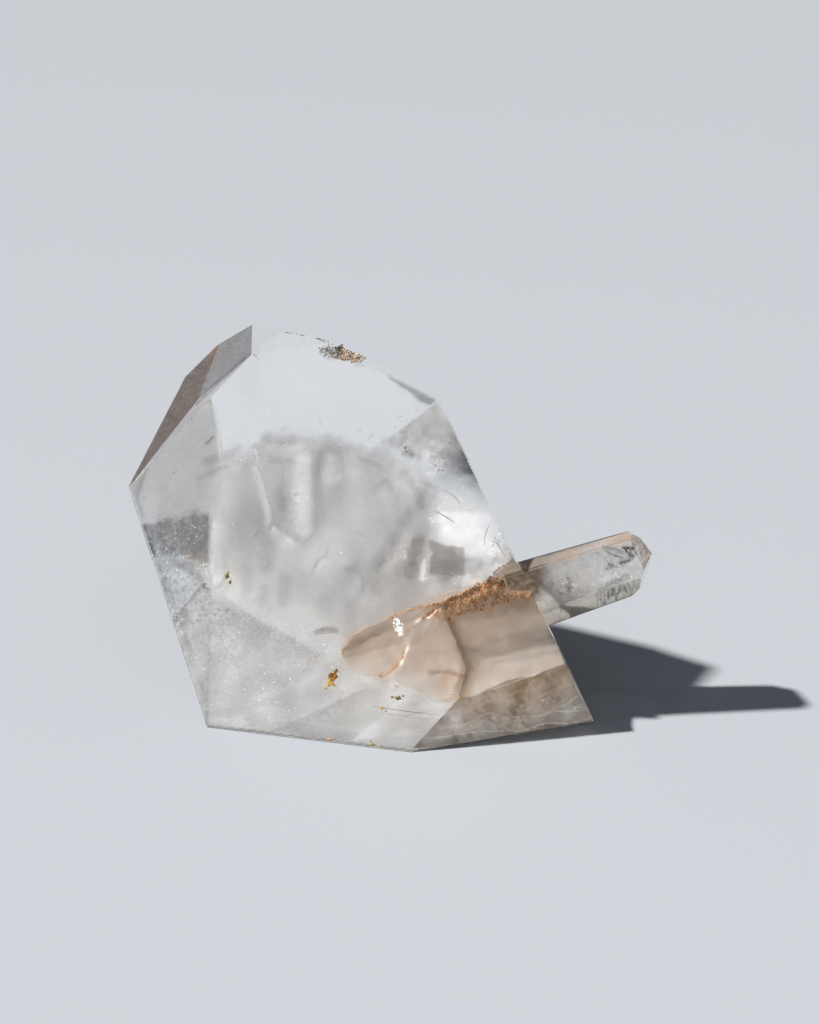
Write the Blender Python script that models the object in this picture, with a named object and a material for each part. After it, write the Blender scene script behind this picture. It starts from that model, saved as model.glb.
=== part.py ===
"""A polished quartz chunk with a small quartz point grown through its right side.

The whole is one solid: a stubby clear crystal that stands on its cut base, the natural point
that passes through it, a broken, shell-shaped scoop where the two meet, and a pit in the top
edge. Sizes are in millimetres from the front corner of the base: x to the right, y to the back,
z up. The mesh is in metres.
"""

import math

import bmesh
import bpy
import numpy as np
from mathutils import Matrix, Vector, noise

MM = 0.001

# Driving dimensions: the corners of the polished chunk
BASE_FRONT = Vector((0.0, 0.0, 0.0))
BASE_LEFT = Vector((-29.6, 7.1, 0.0))
BASE_RIGHT = Vector((26.6, 6.3, 1.5))
LEFT_CORNER = Vector((-43.1, 38.0, 24.4))
BEVEL_SPLIT = Vector((-33.1, 47.0, 34.4))
TOP_LEFT = Vector((-24.7, 52.1, 40.7))
TOP_BACK = Vector((-24.9, 58.5, 43.1))
TOP_MIDDLE = Vector((-11.6, 51.5, 43.0))
TOP_RIGHT = Vector((4.3, 42.0, 37.9))
SHOULDER_HIGH = Vector((-30.7, 57.7, 39.7))
SHOULDER_LOW = Vector((-35.4, 55.3, 35.7))
SCOOP_FOOT = Vector((6.7, 4.6, 5.4))
CHAMFER_LOW = Vector((-39.9, 40.2, 27.1))
CHAMFER_HIGH = Vector((-26.4, 50.5, 39.0))
CHAMFER_MIDDLE = Vector((-30.4, 49.1, 36.6))

# Driving dimensions: one point more for each face at the back and below
BACK_RIGHT_EDGE = Vector((-2.9, 43.8, 27.5))
BACK_RIGHT_FOOT = Vector((0.0, 30.1, 0.0))
RIGHT_FOOT = Vector((25.8, 20.0, 0.0))
UNDER_RIGHT = Vector((20.0, 13.3, 0.0))
LEFT_FOOT = Vector((-29.6, 40.0, 0.0))
BACK_LEFT_EDGE = Vector((-28.0, 54.5, 15.0))
SHOULDER_FOOT = Vector((-32.0, 61.1, 10.0))
TOP_BACK_FOOT = Vector((-26.0, 61.9, 10.0))

# Driving dimensions: the small point, its sides by their distance from the axis near the tip
POINT_TIP = Vector((36.1, 24.9, 19.4))
POINT_ALONG = Vector((0.951, 0.191, 0.243)).normalized()
POINT_LENGTH = 22.5
POINT_SIDES = {
    "front": 3.4,
    "upper_front": 4.6,
    "upper_back": 3.3,
    "back": 3.4,
    "lower_back": 4.65,
    "lower_front": 4.35,
}
POINT_TAPER = 0.03
POINT_MEASURED_AT = 8.0

# Driving dimensions: the faces of the tip, as normal (ahead, front, up) and distance past the tip
TIP_FACES = {
    "top": (0.70, 0.05, 0.71, 1.25),
    "high": (0.93, 0.15, 0.33, 0.03),
    "low": (0.77, 0.22, -0.60, 0.0),
    "under": (0.42, 0.10, -0.90, 2.5),
    "near": (0.66, 0.75, 0.08, 0.75),
    "far": (0.66, -0.74, -0.10, 0.7),
}

# Driving dimensions: the break, in millimetres along its top edge, down the face, and deep
BREAK_START = Vector((-9.8, 13.1, 9.5))
BREAK_END = Vector((16.1, 19.55, 20.7))
SMALL_SHELL = {
    "left_rim": ((-1.4, -0.8, -0.5), (-1.4, 2.2, -0.4), (0.2, 5.2, -0.4), (2.6, 7.2, -0.4)),
    "lower_rim": ((3.7, 9.6, -0.3), (5.4, 12.2, -0.3), (8.2, 14.4, -0.2), (11.3, 14.9, 0.05)),
    "floor": ((1.5, 1.5, 0.9), (5.0, 2.2, 1.4), (8.0, 3.5, 1.6), (4.5, 5.0, 0.9)),
    "middle": ((8.0, 8.0, 1.3), (11.5, 3.0, 1.7), (11.5, 7.5, 1.9), (9.5, 11.5, 0.9)),
    "towards_ridge": ((14.9, 2.7, 0.9), (14.9, 6.0, 1.4), (14.8, 10.0, 1.5), (13.3, 12.2, 1.0)),
    "past_ridge": ((18.0, 3.0, 0.2), (18.0, 8.0, 0.4), (16.0, 13.0, 0.1), (13.0, 16.0, -0.8)),
}
LARGE_SHELL = {
    "before_ridge": ((12.6, 3.0, -0.8), (12.4, 7.0, -1.0), (12.3, 10.5, -0.6), (11.2, 14.0, -0.5)),
    "ridge": ((14.9, 2.7, 0.9), (14.9, 6.0, 1.4), (14.8, 10.0, 1.5), (13.3, 12.2, 1.0)),
    "below_crust": ((18.3, 3.0, 1.2), (22.0, 3.0, 1.1), (25.2, 3.4, 1.2), (29.4, 4.8, 1.7)),
    "top_wall": ((17.2, 5.6, 3.0), (20.5, 6.0, 3.0), (25.5, 6.6, 2.7), (30.5, 8.0, 3.3)),
    "floor": ((17.2, 9.2, 3.7), (20.5, 8.8, 4.4), (24.5, 9.8, 4.6), (29.0, 10.6, 5.0)),
    "low_floor": ((16.6, 12.6, 2.3), (20.0, 12.8, 3.3), (24.5, 13.2, 4.0), (30.0, 13.4, 4.9)),
    "foot": ((15.9, 15.3, 0.9), (18.8, 15.1, 1.3), (22.7, 15.8, 2.3), (28.1, 16.2, 3.4)),
    "past_foot": ((12.0, 16.6, -0.6), (16.0, 18.0, -0.6), (22.7, 18.4, 0.6), (28.6, 19.0, 1.7)),
    "top_edge": ((15.0, 0.2, 0.3), (18.5, 0.4, 0.4), (22.5, 0.4, 0.4), (31.0, 0.6, 0.6)),
}
ROOT_HOLLOW = {"middle": (28.6, 2.3), "radii": (4.2, 2.5), "turn": 0.32, "depth": 3.8}
STEP = {"start": 9.3, "curve": 0.0165, "height": 0.35}
RIPPLE = {"source": (30.0, 1.0), "pitch": 2.6, "height": 0.05}
TOP_WALL_SLOPE = 2.2

# Driving dimensions: the pit in the top edge
PIT_MIDDLE = Vector((-9.9, 49.4, 41.9))
PIT_RADII = Vector((3.2, 1.45, 0.62))

INSIDE = Vector((-8.0, 25.0, 15.0))


def plane_through(a, b, c, inside=INSIDE):
    """The plane through three points as (point, normal), the normal turned away from inside."""
    normal = (b - a).cross(c - a).normalized()
    if normal.dot(inside - a) > 0:
        normal = -normal
    return a, normal


def chunk_faces():
    """Every polished face of the chunk, by the corners that it passes through."""
    return {
        "base": (BASE_FRONT, Vector((0, 0, -1))),
        "front": plane_through(BASE_LEFT, BASE_FRONT, LEFT_CORNER),
        "chamfer": plane_through(CHAMFER_LOW, CHAMFER_HIGH, CHAMFER_MIDDLE),
        "bevel_low": plane_through(LEFT_CORNER, BEVEL_SPLIT, SHOULDER_HIGH),
        "bevel_high": plane_through(BEVEL_SPLIT, TOP_LEFT, TOP_BACK),
        "top_strip": plane_through(TOP_LEFT, TOP_BACK, TOP_MIDDLE),
        "back": plane_through(TOP_BACK, TOP_MIDDLE, TOP_RIGHT),
        "back_right": plane_through(TOP_RIGHT, BACK_RIGHT_EDGE, BACK_RIGHT_FOOT),
        "right": plane_through(TOP_RIGHT, BASE_RIGHT, RIGHT_FOOT),
        "lower_right": plane_through(BASE_FRONT, BASE_RIGHT, SCOOP_FOOT),
        "under_right": plane_through(BASE_FRONT, BASE_RIGHT, UNDER_RIGHT),
        "left": plane_through(BASE_LEFT, LEFT_CORNER, LEFT_FOOT),
        "back_left": plane_through(LEFT_CORNER, SHOULDER_LOW, BACK_LEFT_EDGE),
        "shoulder": plane_through(SHOULDER_LOW, SHOULDER_HIGH, SHOULDER_FOOT),
        "top_back": plane_through(SHOULDER_HIGH, TOP_BACK, TOP_BACK_FOOT),
    }


def crystal_mesh(name, middle, reach, faces):
    """A block round middle, cut down to the crystal that the faces bound."""
    cut = bmesh.new()
    bmesh.ops.create_cube(cut, size=2 * reach * MM, matrix=Matrix.Translation(middle * MM))
    for point, normal in faces:
        parts = cut.verts[:] + cut.edges[:] + cut.faces[:]
        made = bmesh.ops.bisect_plane(
            cut, geom=parts, dist=1e-7, plane_co=point * MM, plane_no=normal, clear_outer=True
        )
        rim = [part for part in made["geom_cut"] if isinstance(part, bmesh.types.BMEdge)]
        if rim:
            bmesh.ops.edgeloop_fill(cut, edges=rim)
    bmesh.ops.recalc_face_normals(cut, faces=cut.faces[:])
    mesh = bpy.data.meshes.new(name)
    cut.to_mesh(mesh)
    cut.free()
    return mesh


def point_faces():
    """The faces of the small point: six unequal sides that close a little, and a blunt tip."""
    towards_viewer = Vector((0.0, -0.906, 0.423))
    front = (towards_viewer - POINT_ALONG * towards_viewer.dot(POINT_ALONG)).normalized()
    up = front.cross(POINT_ALONG)
    measured = POINT_TIP - POINT_ALONG * POINT_MEASURED_AT
    faces = []
    for k, away in enumerate(POINT_SIDES.values()):
        turn = math.radians(60 * k)
        side = front * math.cos(turn) + up * math.sin(turn)
        faces.append((measured + side * away, (side + POINT_ALONG * POINT_TAPER).normalized()))
    for ahead, forward, upward, past in TIP_FACES.values():
        normal = (POINT_ALONG * ahead + front * forward + up * upward).normalized()
        faces.append((POINT_TIP + normal * past, normal))
    faces.append((POINT_TIP - POINT_ALONG * POINT_LENGTH, -POINT_ALONG))
    return faces


def spread(q, p):
    """The thin-plate term between places on the front face."""
    square = q * q + p * p
    return 0.5 * square * np.log(np.maximum(square, 1e-12))


def shell(points):
    """A smooth surface through one shell's points, as a function of q and p."""
    rows = np.array([point for row in points.values() for point in row])
    count = len(rows)
    q, p, deep = rows.T
    system = np.zeros((count + 3, count + 3))
    system[:count, :count] = spread(q[:, None] - q, p[:, None] - p)
    system[:count, count:] = np.column_stack((np.ones(count), q, p))
    system[count:, :count] = system[:count, count:].T
    weights = np.linalg.solve(system, np.append(deep, (0.0, 0.0, 0.0)))
    level, per_q, per_p = weights[count:]

    def depth(at_q, at_p):
        bend = float(np.dot(weights[:count], spread(at_q - q, at_p - p)))
        return bend + level + per_q * at_q + per_p * at_p

    return depth


def smooth_step(value, start, end):
    share = min(1.0, max(0.0, (value - start) / (end - start)))
    return share * share * (3 - 2 * share)


def hollow_depth(q, p):
    """The hollow in which the root of the small point shows."""
    along = q - ROOT_HOLLOW["middle"][0]
    down = p - ROOT_HOLLOW["middle"][1] - ROOT_HOLLOW["turn"] * along
    reach = (along / ROOT_HOLLOW["radii"][0]) ** 2 + (down / ROOT_HOLLOW["radii"][1]) ** 2
    return ROOT_HOLLOW["depth"] * (1 - reach)


def ledge(q, p):
    """A low ledge across the small shell, where the break stepped."""
    line = STEP["start"] - STEP["curve"] * max(p, 0.0) ** 3
    return -STEP["height"] * smooth_step(q - line, -0.2, 0.5) * smooth_step(p, 0.2, 1.0)


def texture(q, p):
    """The ripples of the break and its fine unevenness, coarser in the crust at the top edge."""
    away = math.hypot(q - RIPPLE["source"][0], p - RIPPLE["source"][1])
    height = RIPPLE["height"] * math.sin(math.tau * away / RIPPLE["pitch"])
    height += 0.16 * noise.noise(Vector((q * 0.35, p * 0.35, 4.0)))
    height += 0.07 * noise.noise(Vector((q * 1.1, p * 1.1, 9.0)))
    crust = smooth_step(q, 9.0, 14.0) * (1 - smooth_step(q, 25.0, 27.0))
    crust *= smooth_step(p, 0.0, 0.6) * (1 - smooth_step(p, 2.4, 3.6))
    return height - crust * (0.12 + 0.34 * noise.noise(Vector((q * 0.9, p * 0.9, 2.0))))


def scoop_cutter():
    """A slab over the front face whose lower side is the broken surface."""
    start_q, end_q, start_p, end_p = -4.0, 38.0, -3.0, 20.6
    cell = 0.7
    above = 9.0
    lowest = -1.5
    small = shell(SMALL_SHELL)
    large = shell(LARGE_SHELL)
    outward = chunk_faces()["front"][1]
    along = (BREAK_END - BREAK_START).normalized()
    down = along.cross(outward)
    if down.z > 0:
        down = -down
    columns = round((end_q - start_q) / cell)
    rows = round((end_p - start_p) / cell)
    cutter = bmesh.new()
    broken, cover = [], []
    for j in range(rows + 1):
        for i in range(columns + 1):
            q = start_q + (end_q - start_q) * i / columns
            p = start_p + (end_p - start_p) * j / rows
            deep = max(small(q, p) + ledge(q, p), large(q, p)) + texture(q, p)
            rough = 0.35 * noise.noise(Vector((q * 0.55, p * 0.3, 7.0)))
            top_edge = -1.3 * smooth_step(q, -1.0, 2.0) * (1 - smooth_step(q, 9.0, 17.0))
            deep = min(deep, TOP_WALL_SLOPE * (p - top_edge + rough))
            deep = max(deep, hollow_depth(q, p), lowest)
            place = BREAK_START + along * q + down * p
            broken.append(cutter.verts.new((place - outward * deep) * MM))
            cover.append(cutter.verts.new((place + outward * above) * MM))
    wide = columns + 1
    for j in range(rows):
        for i in range(columns):
            k = j * wide + i
            cutter.faces.new((broken[k], broken[k + wide], broken[k + wide + 1], broken[k + 1]))
            cutter.faces.new((cover[k], cover[k + 1], cover[k + wide + 1], cover[k + wide]))
    rim = [(i, i + 1) for i in range(columns)]
    rim += [(columns + j * wide, columns + (j + 1) * wide) for j in range(rows)]
    rim += [(rows * wide + i + 1, rows * wide + i) for i in reversed(range(columns))]
    rim += [((j + 1) * wide, j * wide) for j in reversed(range(rows))]
    for a, b in rim:
        cutter.faces.new((broken[a], broken[b], cover[b], cover[a]))
    bmesh.ops.recalc_face_normals(cutter, faces=cutter.faces[:])
    mesh = bpy.data.meshes.new("scoop_cutter")
    cutter.to_mesh(mesh)
    cutter.free()
    return mesh


def pit_cutter():
    """A lumpy lens along the top edge, where the polish did not reach a natural pit."""
    edge = (TOP_RIGHT - TOP_LEFT).normalized()
    outward = chunk_faces()["front"][1]
    across = edge.cross(outward).normalized()
    turn = Matrix((edge, across, across.cross(edge))).transposed()
    lens = bmesh.new()
    bmesh.ops.create_icosphere(lens, subdivisions=3, radius=1.0)
    for vert in lens.verts:
        lump = 1 + 0.35 * noise.noise(vert.co * 2.3 + Vector((3.0, 1.0, 0.0)))
        grown = Vector(r * v * lump for r, v in zip(PIT_RADII, vert.co))
        vert.co = (PIT_MIDDLE + turn @ grown) * MM
    bmesh.ops.recalc_face_normals(lens, faces=lens.faces[:])
    mesh = bpy.data.meshes.new("pit_cutter")
    lens.to_mesh(mesh)
    lens.free()
    return mesh


def clear_quartz():
    made = bpy.data.materials.new("clear_quartz")
    made.use_nodes = True
    shader = made.node_tree.nodes["Principled BSDF"]
    shader.inputs["Base Color"].default_value = (0.78, 0.79, 0.80, 1.0)
    shader.inputs["Roughness"].default_value = 0.06
    shader.inputs["Metallic"].default_value = 0.0
    return made


def place(name, mesh, finish, helper=True):
    """An object in the scene. A helper only cuts or joins, and is left out of a render."""
    mesh.materials.append(finish)
    thing = bpy.data.objects.new(name, mesh)
    bpy.context.scene.collection.objects.link(thing)
    if helper:
        thing.hide_render = True
        thing.display_type = "WIRE"
    return thing


def combine(thing, other, operation):
    step = thing.modifiers.new(other.name, "BOOLEAN")
    step.operation = operation
    step.solver = "EXACT"
    step.object = other


def stand_on_middle(things):
    """Moves all so that the middle of the box round the cluster's underside is the origin."""
    bpy.context.view_layer.update()
    finished = things[0].evaluated_get(bpy.context.evaluated_depsgraph_get())
    points = [vert.co for vert in finished.data.vertices]
    frame = bpy.data.objects.new("cluster_frame", None)
    bpy.context.scene.collection.objects.link(frame)
    for axis in (0, 1):
        values = [point[axis] for point in points]
        frame.location[axis] = -(min(values) + max(values)) / 2
    for thing in things:
        thing.parent = frame


def build():
    for thing in list(bpy.data.objects):
        bpy.data.objects.remove(thing)
    clear = clear_quartz()
    chunk = crystal_mesh("quartz_cluster", INSIDE, 80.0, chunk_faces().values())
    cluster = place("quartz_cluster", chunk, clear, helper=False)
    scoop = place("scoop_cutter", scoop_cutter(), clear)
    pit = place("pit_cutter", pit_cutter(), clear)
    middle = POINT_TIP - POINT_ALONG * POINT_LENGTH / 2
    point = place("small_point", crystal_mesh("small_point", middle, 30.0, point_faces()), clear)
    combine(cluster, scoop, "DIFFERENCE")
    combine(cluster, pit, "DIFFERENCE")
    combine(cluster, point, "UNION")
    stand_on_middle((cluster, scoop, pit, point))


build()
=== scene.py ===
import math
import random

import bmesh
import bpy
from mathutils import Matrix, Vector, noise
from mathutils.bvhtree import BVHTree


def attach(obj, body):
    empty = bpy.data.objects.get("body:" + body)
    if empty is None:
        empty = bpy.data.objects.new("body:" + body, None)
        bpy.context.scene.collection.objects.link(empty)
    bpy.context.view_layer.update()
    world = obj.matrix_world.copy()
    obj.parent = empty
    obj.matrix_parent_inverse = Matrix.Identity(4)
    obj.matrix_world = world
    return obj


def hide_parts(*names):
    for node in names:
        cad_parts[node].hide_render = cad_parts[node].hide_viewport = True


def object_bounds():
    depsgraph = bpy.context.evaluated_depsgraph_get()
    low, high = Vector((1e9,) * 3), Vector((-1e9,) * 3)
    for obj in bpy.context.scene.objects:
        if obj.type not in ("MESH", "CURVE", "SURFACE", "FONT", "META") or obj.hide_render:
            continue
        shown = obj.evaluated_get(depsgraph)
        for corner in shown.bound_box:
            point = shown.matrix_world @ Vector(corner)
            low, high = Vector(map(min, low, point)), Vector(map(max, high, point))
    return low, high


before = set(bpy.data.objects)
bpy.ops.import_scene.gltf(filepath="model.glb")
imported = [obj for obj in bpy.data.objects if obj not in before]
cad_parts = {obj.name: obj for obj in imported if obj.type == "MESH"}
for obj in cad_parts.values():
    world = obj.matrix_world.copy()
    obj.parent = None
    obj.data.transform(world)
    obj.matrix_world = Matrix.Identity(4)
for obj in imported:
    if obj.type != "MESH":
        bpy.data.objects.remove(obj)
cad_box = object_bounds()

# Camera, light and room. The photograph looks 25 degrees down on the front with an 85 mm lens. Its
# hard key light comes from behind on the left, and the room round the table is dim and bluish,
# darkest at the level of the table, which is what the crystal's facets mirror.
PHOTO_WIDE, PHOTO_HIGH = 819, 1024
LENS_MM, FILM_MM = 85, 36
LENS_PX = LENS_MM / FILM_MM * PHOTO_HIGH
EYE = Vector((0.00336, -0.32819, 0.17722))
EYE_TILT = math.radians(65)

scene = bpy.context.scene
scene.view_settings.view_transform = "Standard"
camera_data = bpy.data.cameras.new("camera")
camera_data.lens = LENS_MM
camera_data.sensor_width = FILM_MM
camera_data.clip_start = 0.01
camera = bpy.data.objects.new("camera", camera_data)
camera.location = EYE
camera.rotation_euler = (EYE_TILT, 0, 0)
scene.collection.objects.link(camera)
scene.camera = camera

towards_key = Vector((-0.715, 0.283, 0.640))
key_data = bpy.data.lights.new("key", "SUN")
key_data.energy = 4.35
key_data.angle = math.radians(2.5)
key_data.color = (1.0, 0.985, 0.96)
key = bpy.data.objects.new("key", key_data)
key.rotation_euler = towards_key.to_track_quat("Z", "Y").to_euler()
scene.collection.objects.link(key)

world = bpy.data.worlds.new("studio")
scene.world = world
world.use_nodes = True
room = world.node_tree
room_light = room.nodes["Background"]
room_light.inputs["Strength"].default_value = 1.0
direction = room.nodes.new("ShaderNodeTexCoord")
split = room.nodes.new("ShaderNodeSeparateXYZ")
height = room.nodes.new("ShaderNodeValToRGB")
height.color_ramp.elements[0].position = 0.02
height.color_ramp.elements[0].color = (0.0075, 0.008, 0.010, 1)
height.color_ramp.elements[1].position = 0.75
height.color_ramp.elements[1].color = (0.108, 0.113, 0.124, 1)
low_wall = height.color_ramp.elements.new(0.30)
low_wall.color = (0.025, 0.027, 0.033, 1)
room.links.new(direction.outputs["Generated"], split.inputs["Vector"])
room.links.new(split.outputs["Z"], height.inputs["Fac"])
room.links.new(height.outputs["Color"], room_light.inputs["Color"])

scene.cycles.max_bounces = 24
scene.cycles.transmission_bounces = 20
scene.cycles.glossy_bounces = 12
scene.cycles.diffuse_bounces = 4
scene.cycles.transparent_max_bounces = 64
scene.cycles.caustics_refractive = False
scene.cycles.caustics_reflective = False

bpy.ops.object.select_all(action="DESELECT")
bpy.ops.mesh.primitive_plane_add(size=3.0, location=(0, 0, -0.00005))
floor = bpy.context.object
floor.name = "floor"
table = bpy.data.materials.new("pale_table")
table.use_nodes = True
table_shader = table.node_tree.nodes["Principled BSDF"]
table_shader.inputs["Base Color"].default_value = (0.695, 0.73, 0.785, 1)
table_shader.inputs["Roughness"].default_value = 0.45
floor.data.materials.append(table)

# Crystal. One piece of clear quartz: the chunk is cut flat and polished, the side point and its tip
# are left as they grew, and the scoop and the pit are broken glassy rock. It takes the CAD solid's
# own shape, with its cut edges just broken and the broken faces worked finer.
MM = 0.001
CORNER = Vector((3.433, -29.352, 0.0))
POINT_TIP = Vector((36.1, 24.9, 19.4))
POINT_ALONG = Vector((0.951, 0.191, 0.243)).normalized()
POINT_RADIUS_MM, POINT_TIP_MM = 5.6, 9.0
PIT_FLOOR_MM = 36.0
BROKEN_FACE_MM2 = 1.3
QUARTZ_BENDS = 1.544
EDGE_BREAK_MM = 0.11
ONE_PLANE, REAL_EDGE = math.radians(0.4), math.radians(4)
ALONGSIDE = 0.12


def at(place):
    """A place in millimetres from the front corner of the base, in metres in the frame."""
    return (Vector(place) + CORNER) * MM


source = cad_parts["quartz_cluster"]
shape = bmesh.new()
shape.from_mesh(source.data)
shape.transform(source.matrix_world)
bmesh.ops.remove_doubles(shape, verts=shape.verts, dist=1e-6)
bmesh.ops.dissolve_limit(shape, angle_limit=ONE_PLANE, verts=shape.verts, edges=shape.edges)
crystal_mesh = bpy.data.meshes.new("crystal")
shape.to_mesh(crystal_mesh)
shape.free()
crystal = bpy.data.objects.new("crystal", crystal_mesh)
scene.collection.objects.link(crystal)

POLISHED, GROWN, BROKEN, CLAY = range(4)
tip = at(POINT_TIP)


def kind_of(face):
    """Which finish a face of the crystal has, by its size and by how near the side point it lies."""
    ahead = (face.center - tip).dot(POINT_ALONG)
    off_axis = (face.center - tip - POINT_ALONG * ahead).length
    small = face.area < BROKEN_FACE_MM2 * MM * MM
    long_side = abs(face.normal.dot(POINT_ALONG)) < ALONGSIDE and not small
    if off_axis < POINT_RADIUS_MM * MM and (ahead > -POINT_TIP_MM * MM or long_side):
        return GROWN
    if small:
        return BROKEN if face.center.z < PIT_FLOOR_MM * MM else CLAY
    return POLISHED


quartz = bpy.data.materials.new("clear_quartz")
for kind in (POLISHED, GROWN, BROKEN, CLAY):
    crystal_mesh.materials.append(quartz)
for face in crystal_mesh.polygons:
    face.material_index = kind_of(face)
    face.use_smooth = face.material_index in (BROKEN, CLAY)

bpy.ops.object.select_all(action="DESELECT")
scene_view = bpy.context.view_layer
scene_view.objects.active = crystal
crystal.select_set(True)
bpy.ops.object.mode_set(mode="EDIT")
bpy.ops.mesh.select_mode(type="EDGE")
bpy.ops.mesh.select_all(action="DESELECT")
work = bmesh.from_edit_mesh(crystal_mesh)
for edge in work.edges:
    rough = [face.material_index in (BROKEN, CLAY) for face in edge.link_faces]
    edge.select_set(not any(rough) and edge.calc_face_angle(0) > REAL_EDGE)
bmesh.update_edit_mesh(crystal_mesh)
bpy.ops.mesh.bevel(offset=EDGE_BREAK_MM * MM, segments=2, affect="EDGES", clamp_overlap=True)
bpy.ops.mesh.select_all(action="DESELECT")
work = bmesh.from_edit_mesh(crystal_mesh)
for edge in work.edges:
    edge.select_set(
        len(edge.link_faces) == 2
        and all(face.material_index in (BROKEN, CLAY) for face in edge.link_faces)
    )
bmesh.update_edit_mesh(crystal_mesh)
bpy.ops.mesh.subdivide(number_cuts=2, smoothness=0)
bpy.ops.mesh.select_all(action="DESELECT")
work = bmesh.from_edit_mesh(crystal_mesh)
for vert in work.verts:
    vert.select_set(all(face.material_index in (BROKEN, CLAY) for face in vert.link_faces))
bmesh.update_edit_mesh(crystal_mesh)
bpy.ops.mesh.vertices_smooth(factor=0.5, repeat=4)
work = bmesh.from_edit_mesh(crystal_mesh)
COARSE_MM, FINE_MM = 0.035, 0.004
for vert in work.verts:
    if vert.select:
        here = vert.co / MM
        grain = COARSE_MM * noise.noise(here * 0.8) + FINE_MM * noise.noise(here * 2.4)
        vert.co += vert.normal * grain * MM
bmesh.update_edit_mesh(crystal_mesh)
bpy.ops.object.mode_set(mode="OBJECT")

kinds = [face.material_index for face in crystal_mesh.polygons]
for face in crystal_mesh.polygons:
    face.material_index = 0
while len(crystal_mesh.materials) > 1:
    crystal_mesh.materials.pop()
is_broken = [float(kind in (BROKEN, CLAY)) for kind in kinds]
crystal_mesh.attributes.new("broken", "FLOAT", "FACE").data.foreach_set("value", is_broken)

seen = bmesh.new()
seen.from_mesh(crystal_mesh)
skin = BVHTree.FromBMesh(seen)
seen.free()


def noise_mask(tree, scale, low, high, detail=3.0, roughness=0.5, thin=0.0, thick=1.0):
    """A soft patchy mask on Object coordinates, which goes from thin to thick between the low and
    the high level of a noise."""
    place = tree.nodes.new("ShaderNodeTexCoord")
    cloudy = tree.nodes.new("ShaderNodeTexNoise")
    spread = tree.nodes.new("ShaderNodeMapRange")
    for name, value in (("Scale", scale), ("Detail", detail), ("Roughness", roughness)):
        cloudy.inputs[name].default_value = value
    levels = (("From Min", low), ("From Max", high), ("To Min", thin), ("To Max", thick))
    for name, value in levels:
        spread.inputs[name].default_value = value
    tree.links.new(place.outputs["Object"], cloudy.inputs["Vector"])
    tree.links.new(cloudy.outputs["Fac"], spread.inputs["Value"])
    return spread.outputs["Result"]


def blend(tree, mask, one, other):
    """A colour between one and other by a mask. Each is a colour or a socket."""
    mix = tree.nodes.new("ShaderNodeMix")
    mix.data_type = "RGBA"
    for socket, colour in (("A", one), ("B", other)):
        if isinstance(colour, tuple):
            mix.inputs[socket].default_value = (*colour, 1)
        else:
            tree.links.new(colour, mix.inputs[socket])
    tree.links.new(mask, mix.inputs["Factor"])
    return mix.outputs["Result"]


def mark_mask(tree, mark, patchy=None):
    """An attribute of the mesh as a mask, which a patchy mask may break up."""
    read = tree.nodes.new("ShaderNodeAttribute")
    read.attribute_name = mark
    if patchy is None:
        return read.outputs["Fac"]
    times = tree.nodes.new("ShaderNodeMath")
    times.operation = "MULTIPLY"
    times.use_clamp = True
    tree.links.new(read.outputs["Fac"], times.inputs[0])
    tree.links.new(patchy, times.inputs[1])
    return times.outputs["Value"]


def mixed(tree, share, one, other):
    """A shader between one and other, by a number or a mask."""
    mix = tree.nodes.new("ShaderNodeMixShader")
    if isinstance(share, float):
        mix.inputs["Fac"].default_value = share
    else:
        tree.links.new(share, mix.inputs["Fac"])
    tree.links.new(one, mix.inputs[1])
    tree.links.new(other, mix.inputs[2])
    return mix.outputs["Shader"]


quartz.use_nodes = True
tree = quartz.node_tree
glass = tree.nodes["Principled BSDF"]
glass.inputs["IOR"].default_value = QUARTZ_BENDS
glass.inputs["Transmission Weight"].default_value = 1.0
rock = mark_mask(tree, "broken")
tree.links.new(blend(tree, rock, (1.0, 1.0, 1.0), (0.97, 0.93, 0.90)), glass.inputs["Base Color"])
matt = mark_mask(tree, "broken", noise_mask(tree, 420, 0.3, 0.7, thin=0.34, thick=0.48))
tree.links.new(matt, glass.inputs["Roughness"])

# The key light goes straight on through the quartz to what lies inside it: dimmed where it enters
# a polished face, so that the stone casts its shadow, and hardly where it enters broken rock.
lets_lamps = tree.nodes.new("ShaderNodeBsdfTransparent")
path = tree.nodes.new("ShaderNodeLightPath")
side = tree.nodes.new("ShaderNodeNewGeometry")
entering = blend(tree, rock, (0.012, 0.012, 0.013), (0.60, 0.59, 0.58))
tint = blend(tree, side.outputs["Backfacing"], entering, (1.0, 1.0, 1.0))
tree.links.new(tint, lets_lamps.inputs["Color"])
straight = tree.nodes.new("ShaderNodeMath")
straight.operation = "MAXIMUM"
tree.links.new(path.outputs["Is Shadow Ray"], straight.inputs[0])
tree.links.new(path.outputs["Is Diffuse Ray"], straight.inputs[1])
lit_through = mixed(
    tree, straight.outputs["Value"], glass.outputs["BSDF"], lets_lamps.outputs["BSDF"]
)
out = tree.nodes["Material Output"]
tree.links.new(lit_through, out.inputs["Surface"])
absorb = tree.nodes.new("ShaderNodeVolumeAbsorption")
absorb.inputs["Color"].default_value = (0.93, 0.95, 0.95, 1)
absorb.inputs["Density"].default_value = 1.5
tree.links.new(absorb.outputs["Volume"], out.inputs["Volume"])
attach(crystal, "root")
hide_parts("quartz_cluster")

# Milky cloud. Inside the chunk hangs a cloud of tiny bubbles, laid down in folded veils like frost,
# densest in front and ragged along its top. Each veil is a thin sheet that follows the face.
CELL_PX = 3.0
FINE_GRAIN = (900, 0.86, 1.08)


def sight(u, v):
    """The direction in which the camera sees a point of the photograph."""
    flat = Vector(((u - PHOTO_WIDE / 2) / LENS_PX, (PHOTO_HIGH / 2 - v) / LENS_PX, -1.0))
    return (Matrix.Rotation(EYE_TILT, 3, "X") @ flat).normalized()


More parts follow.
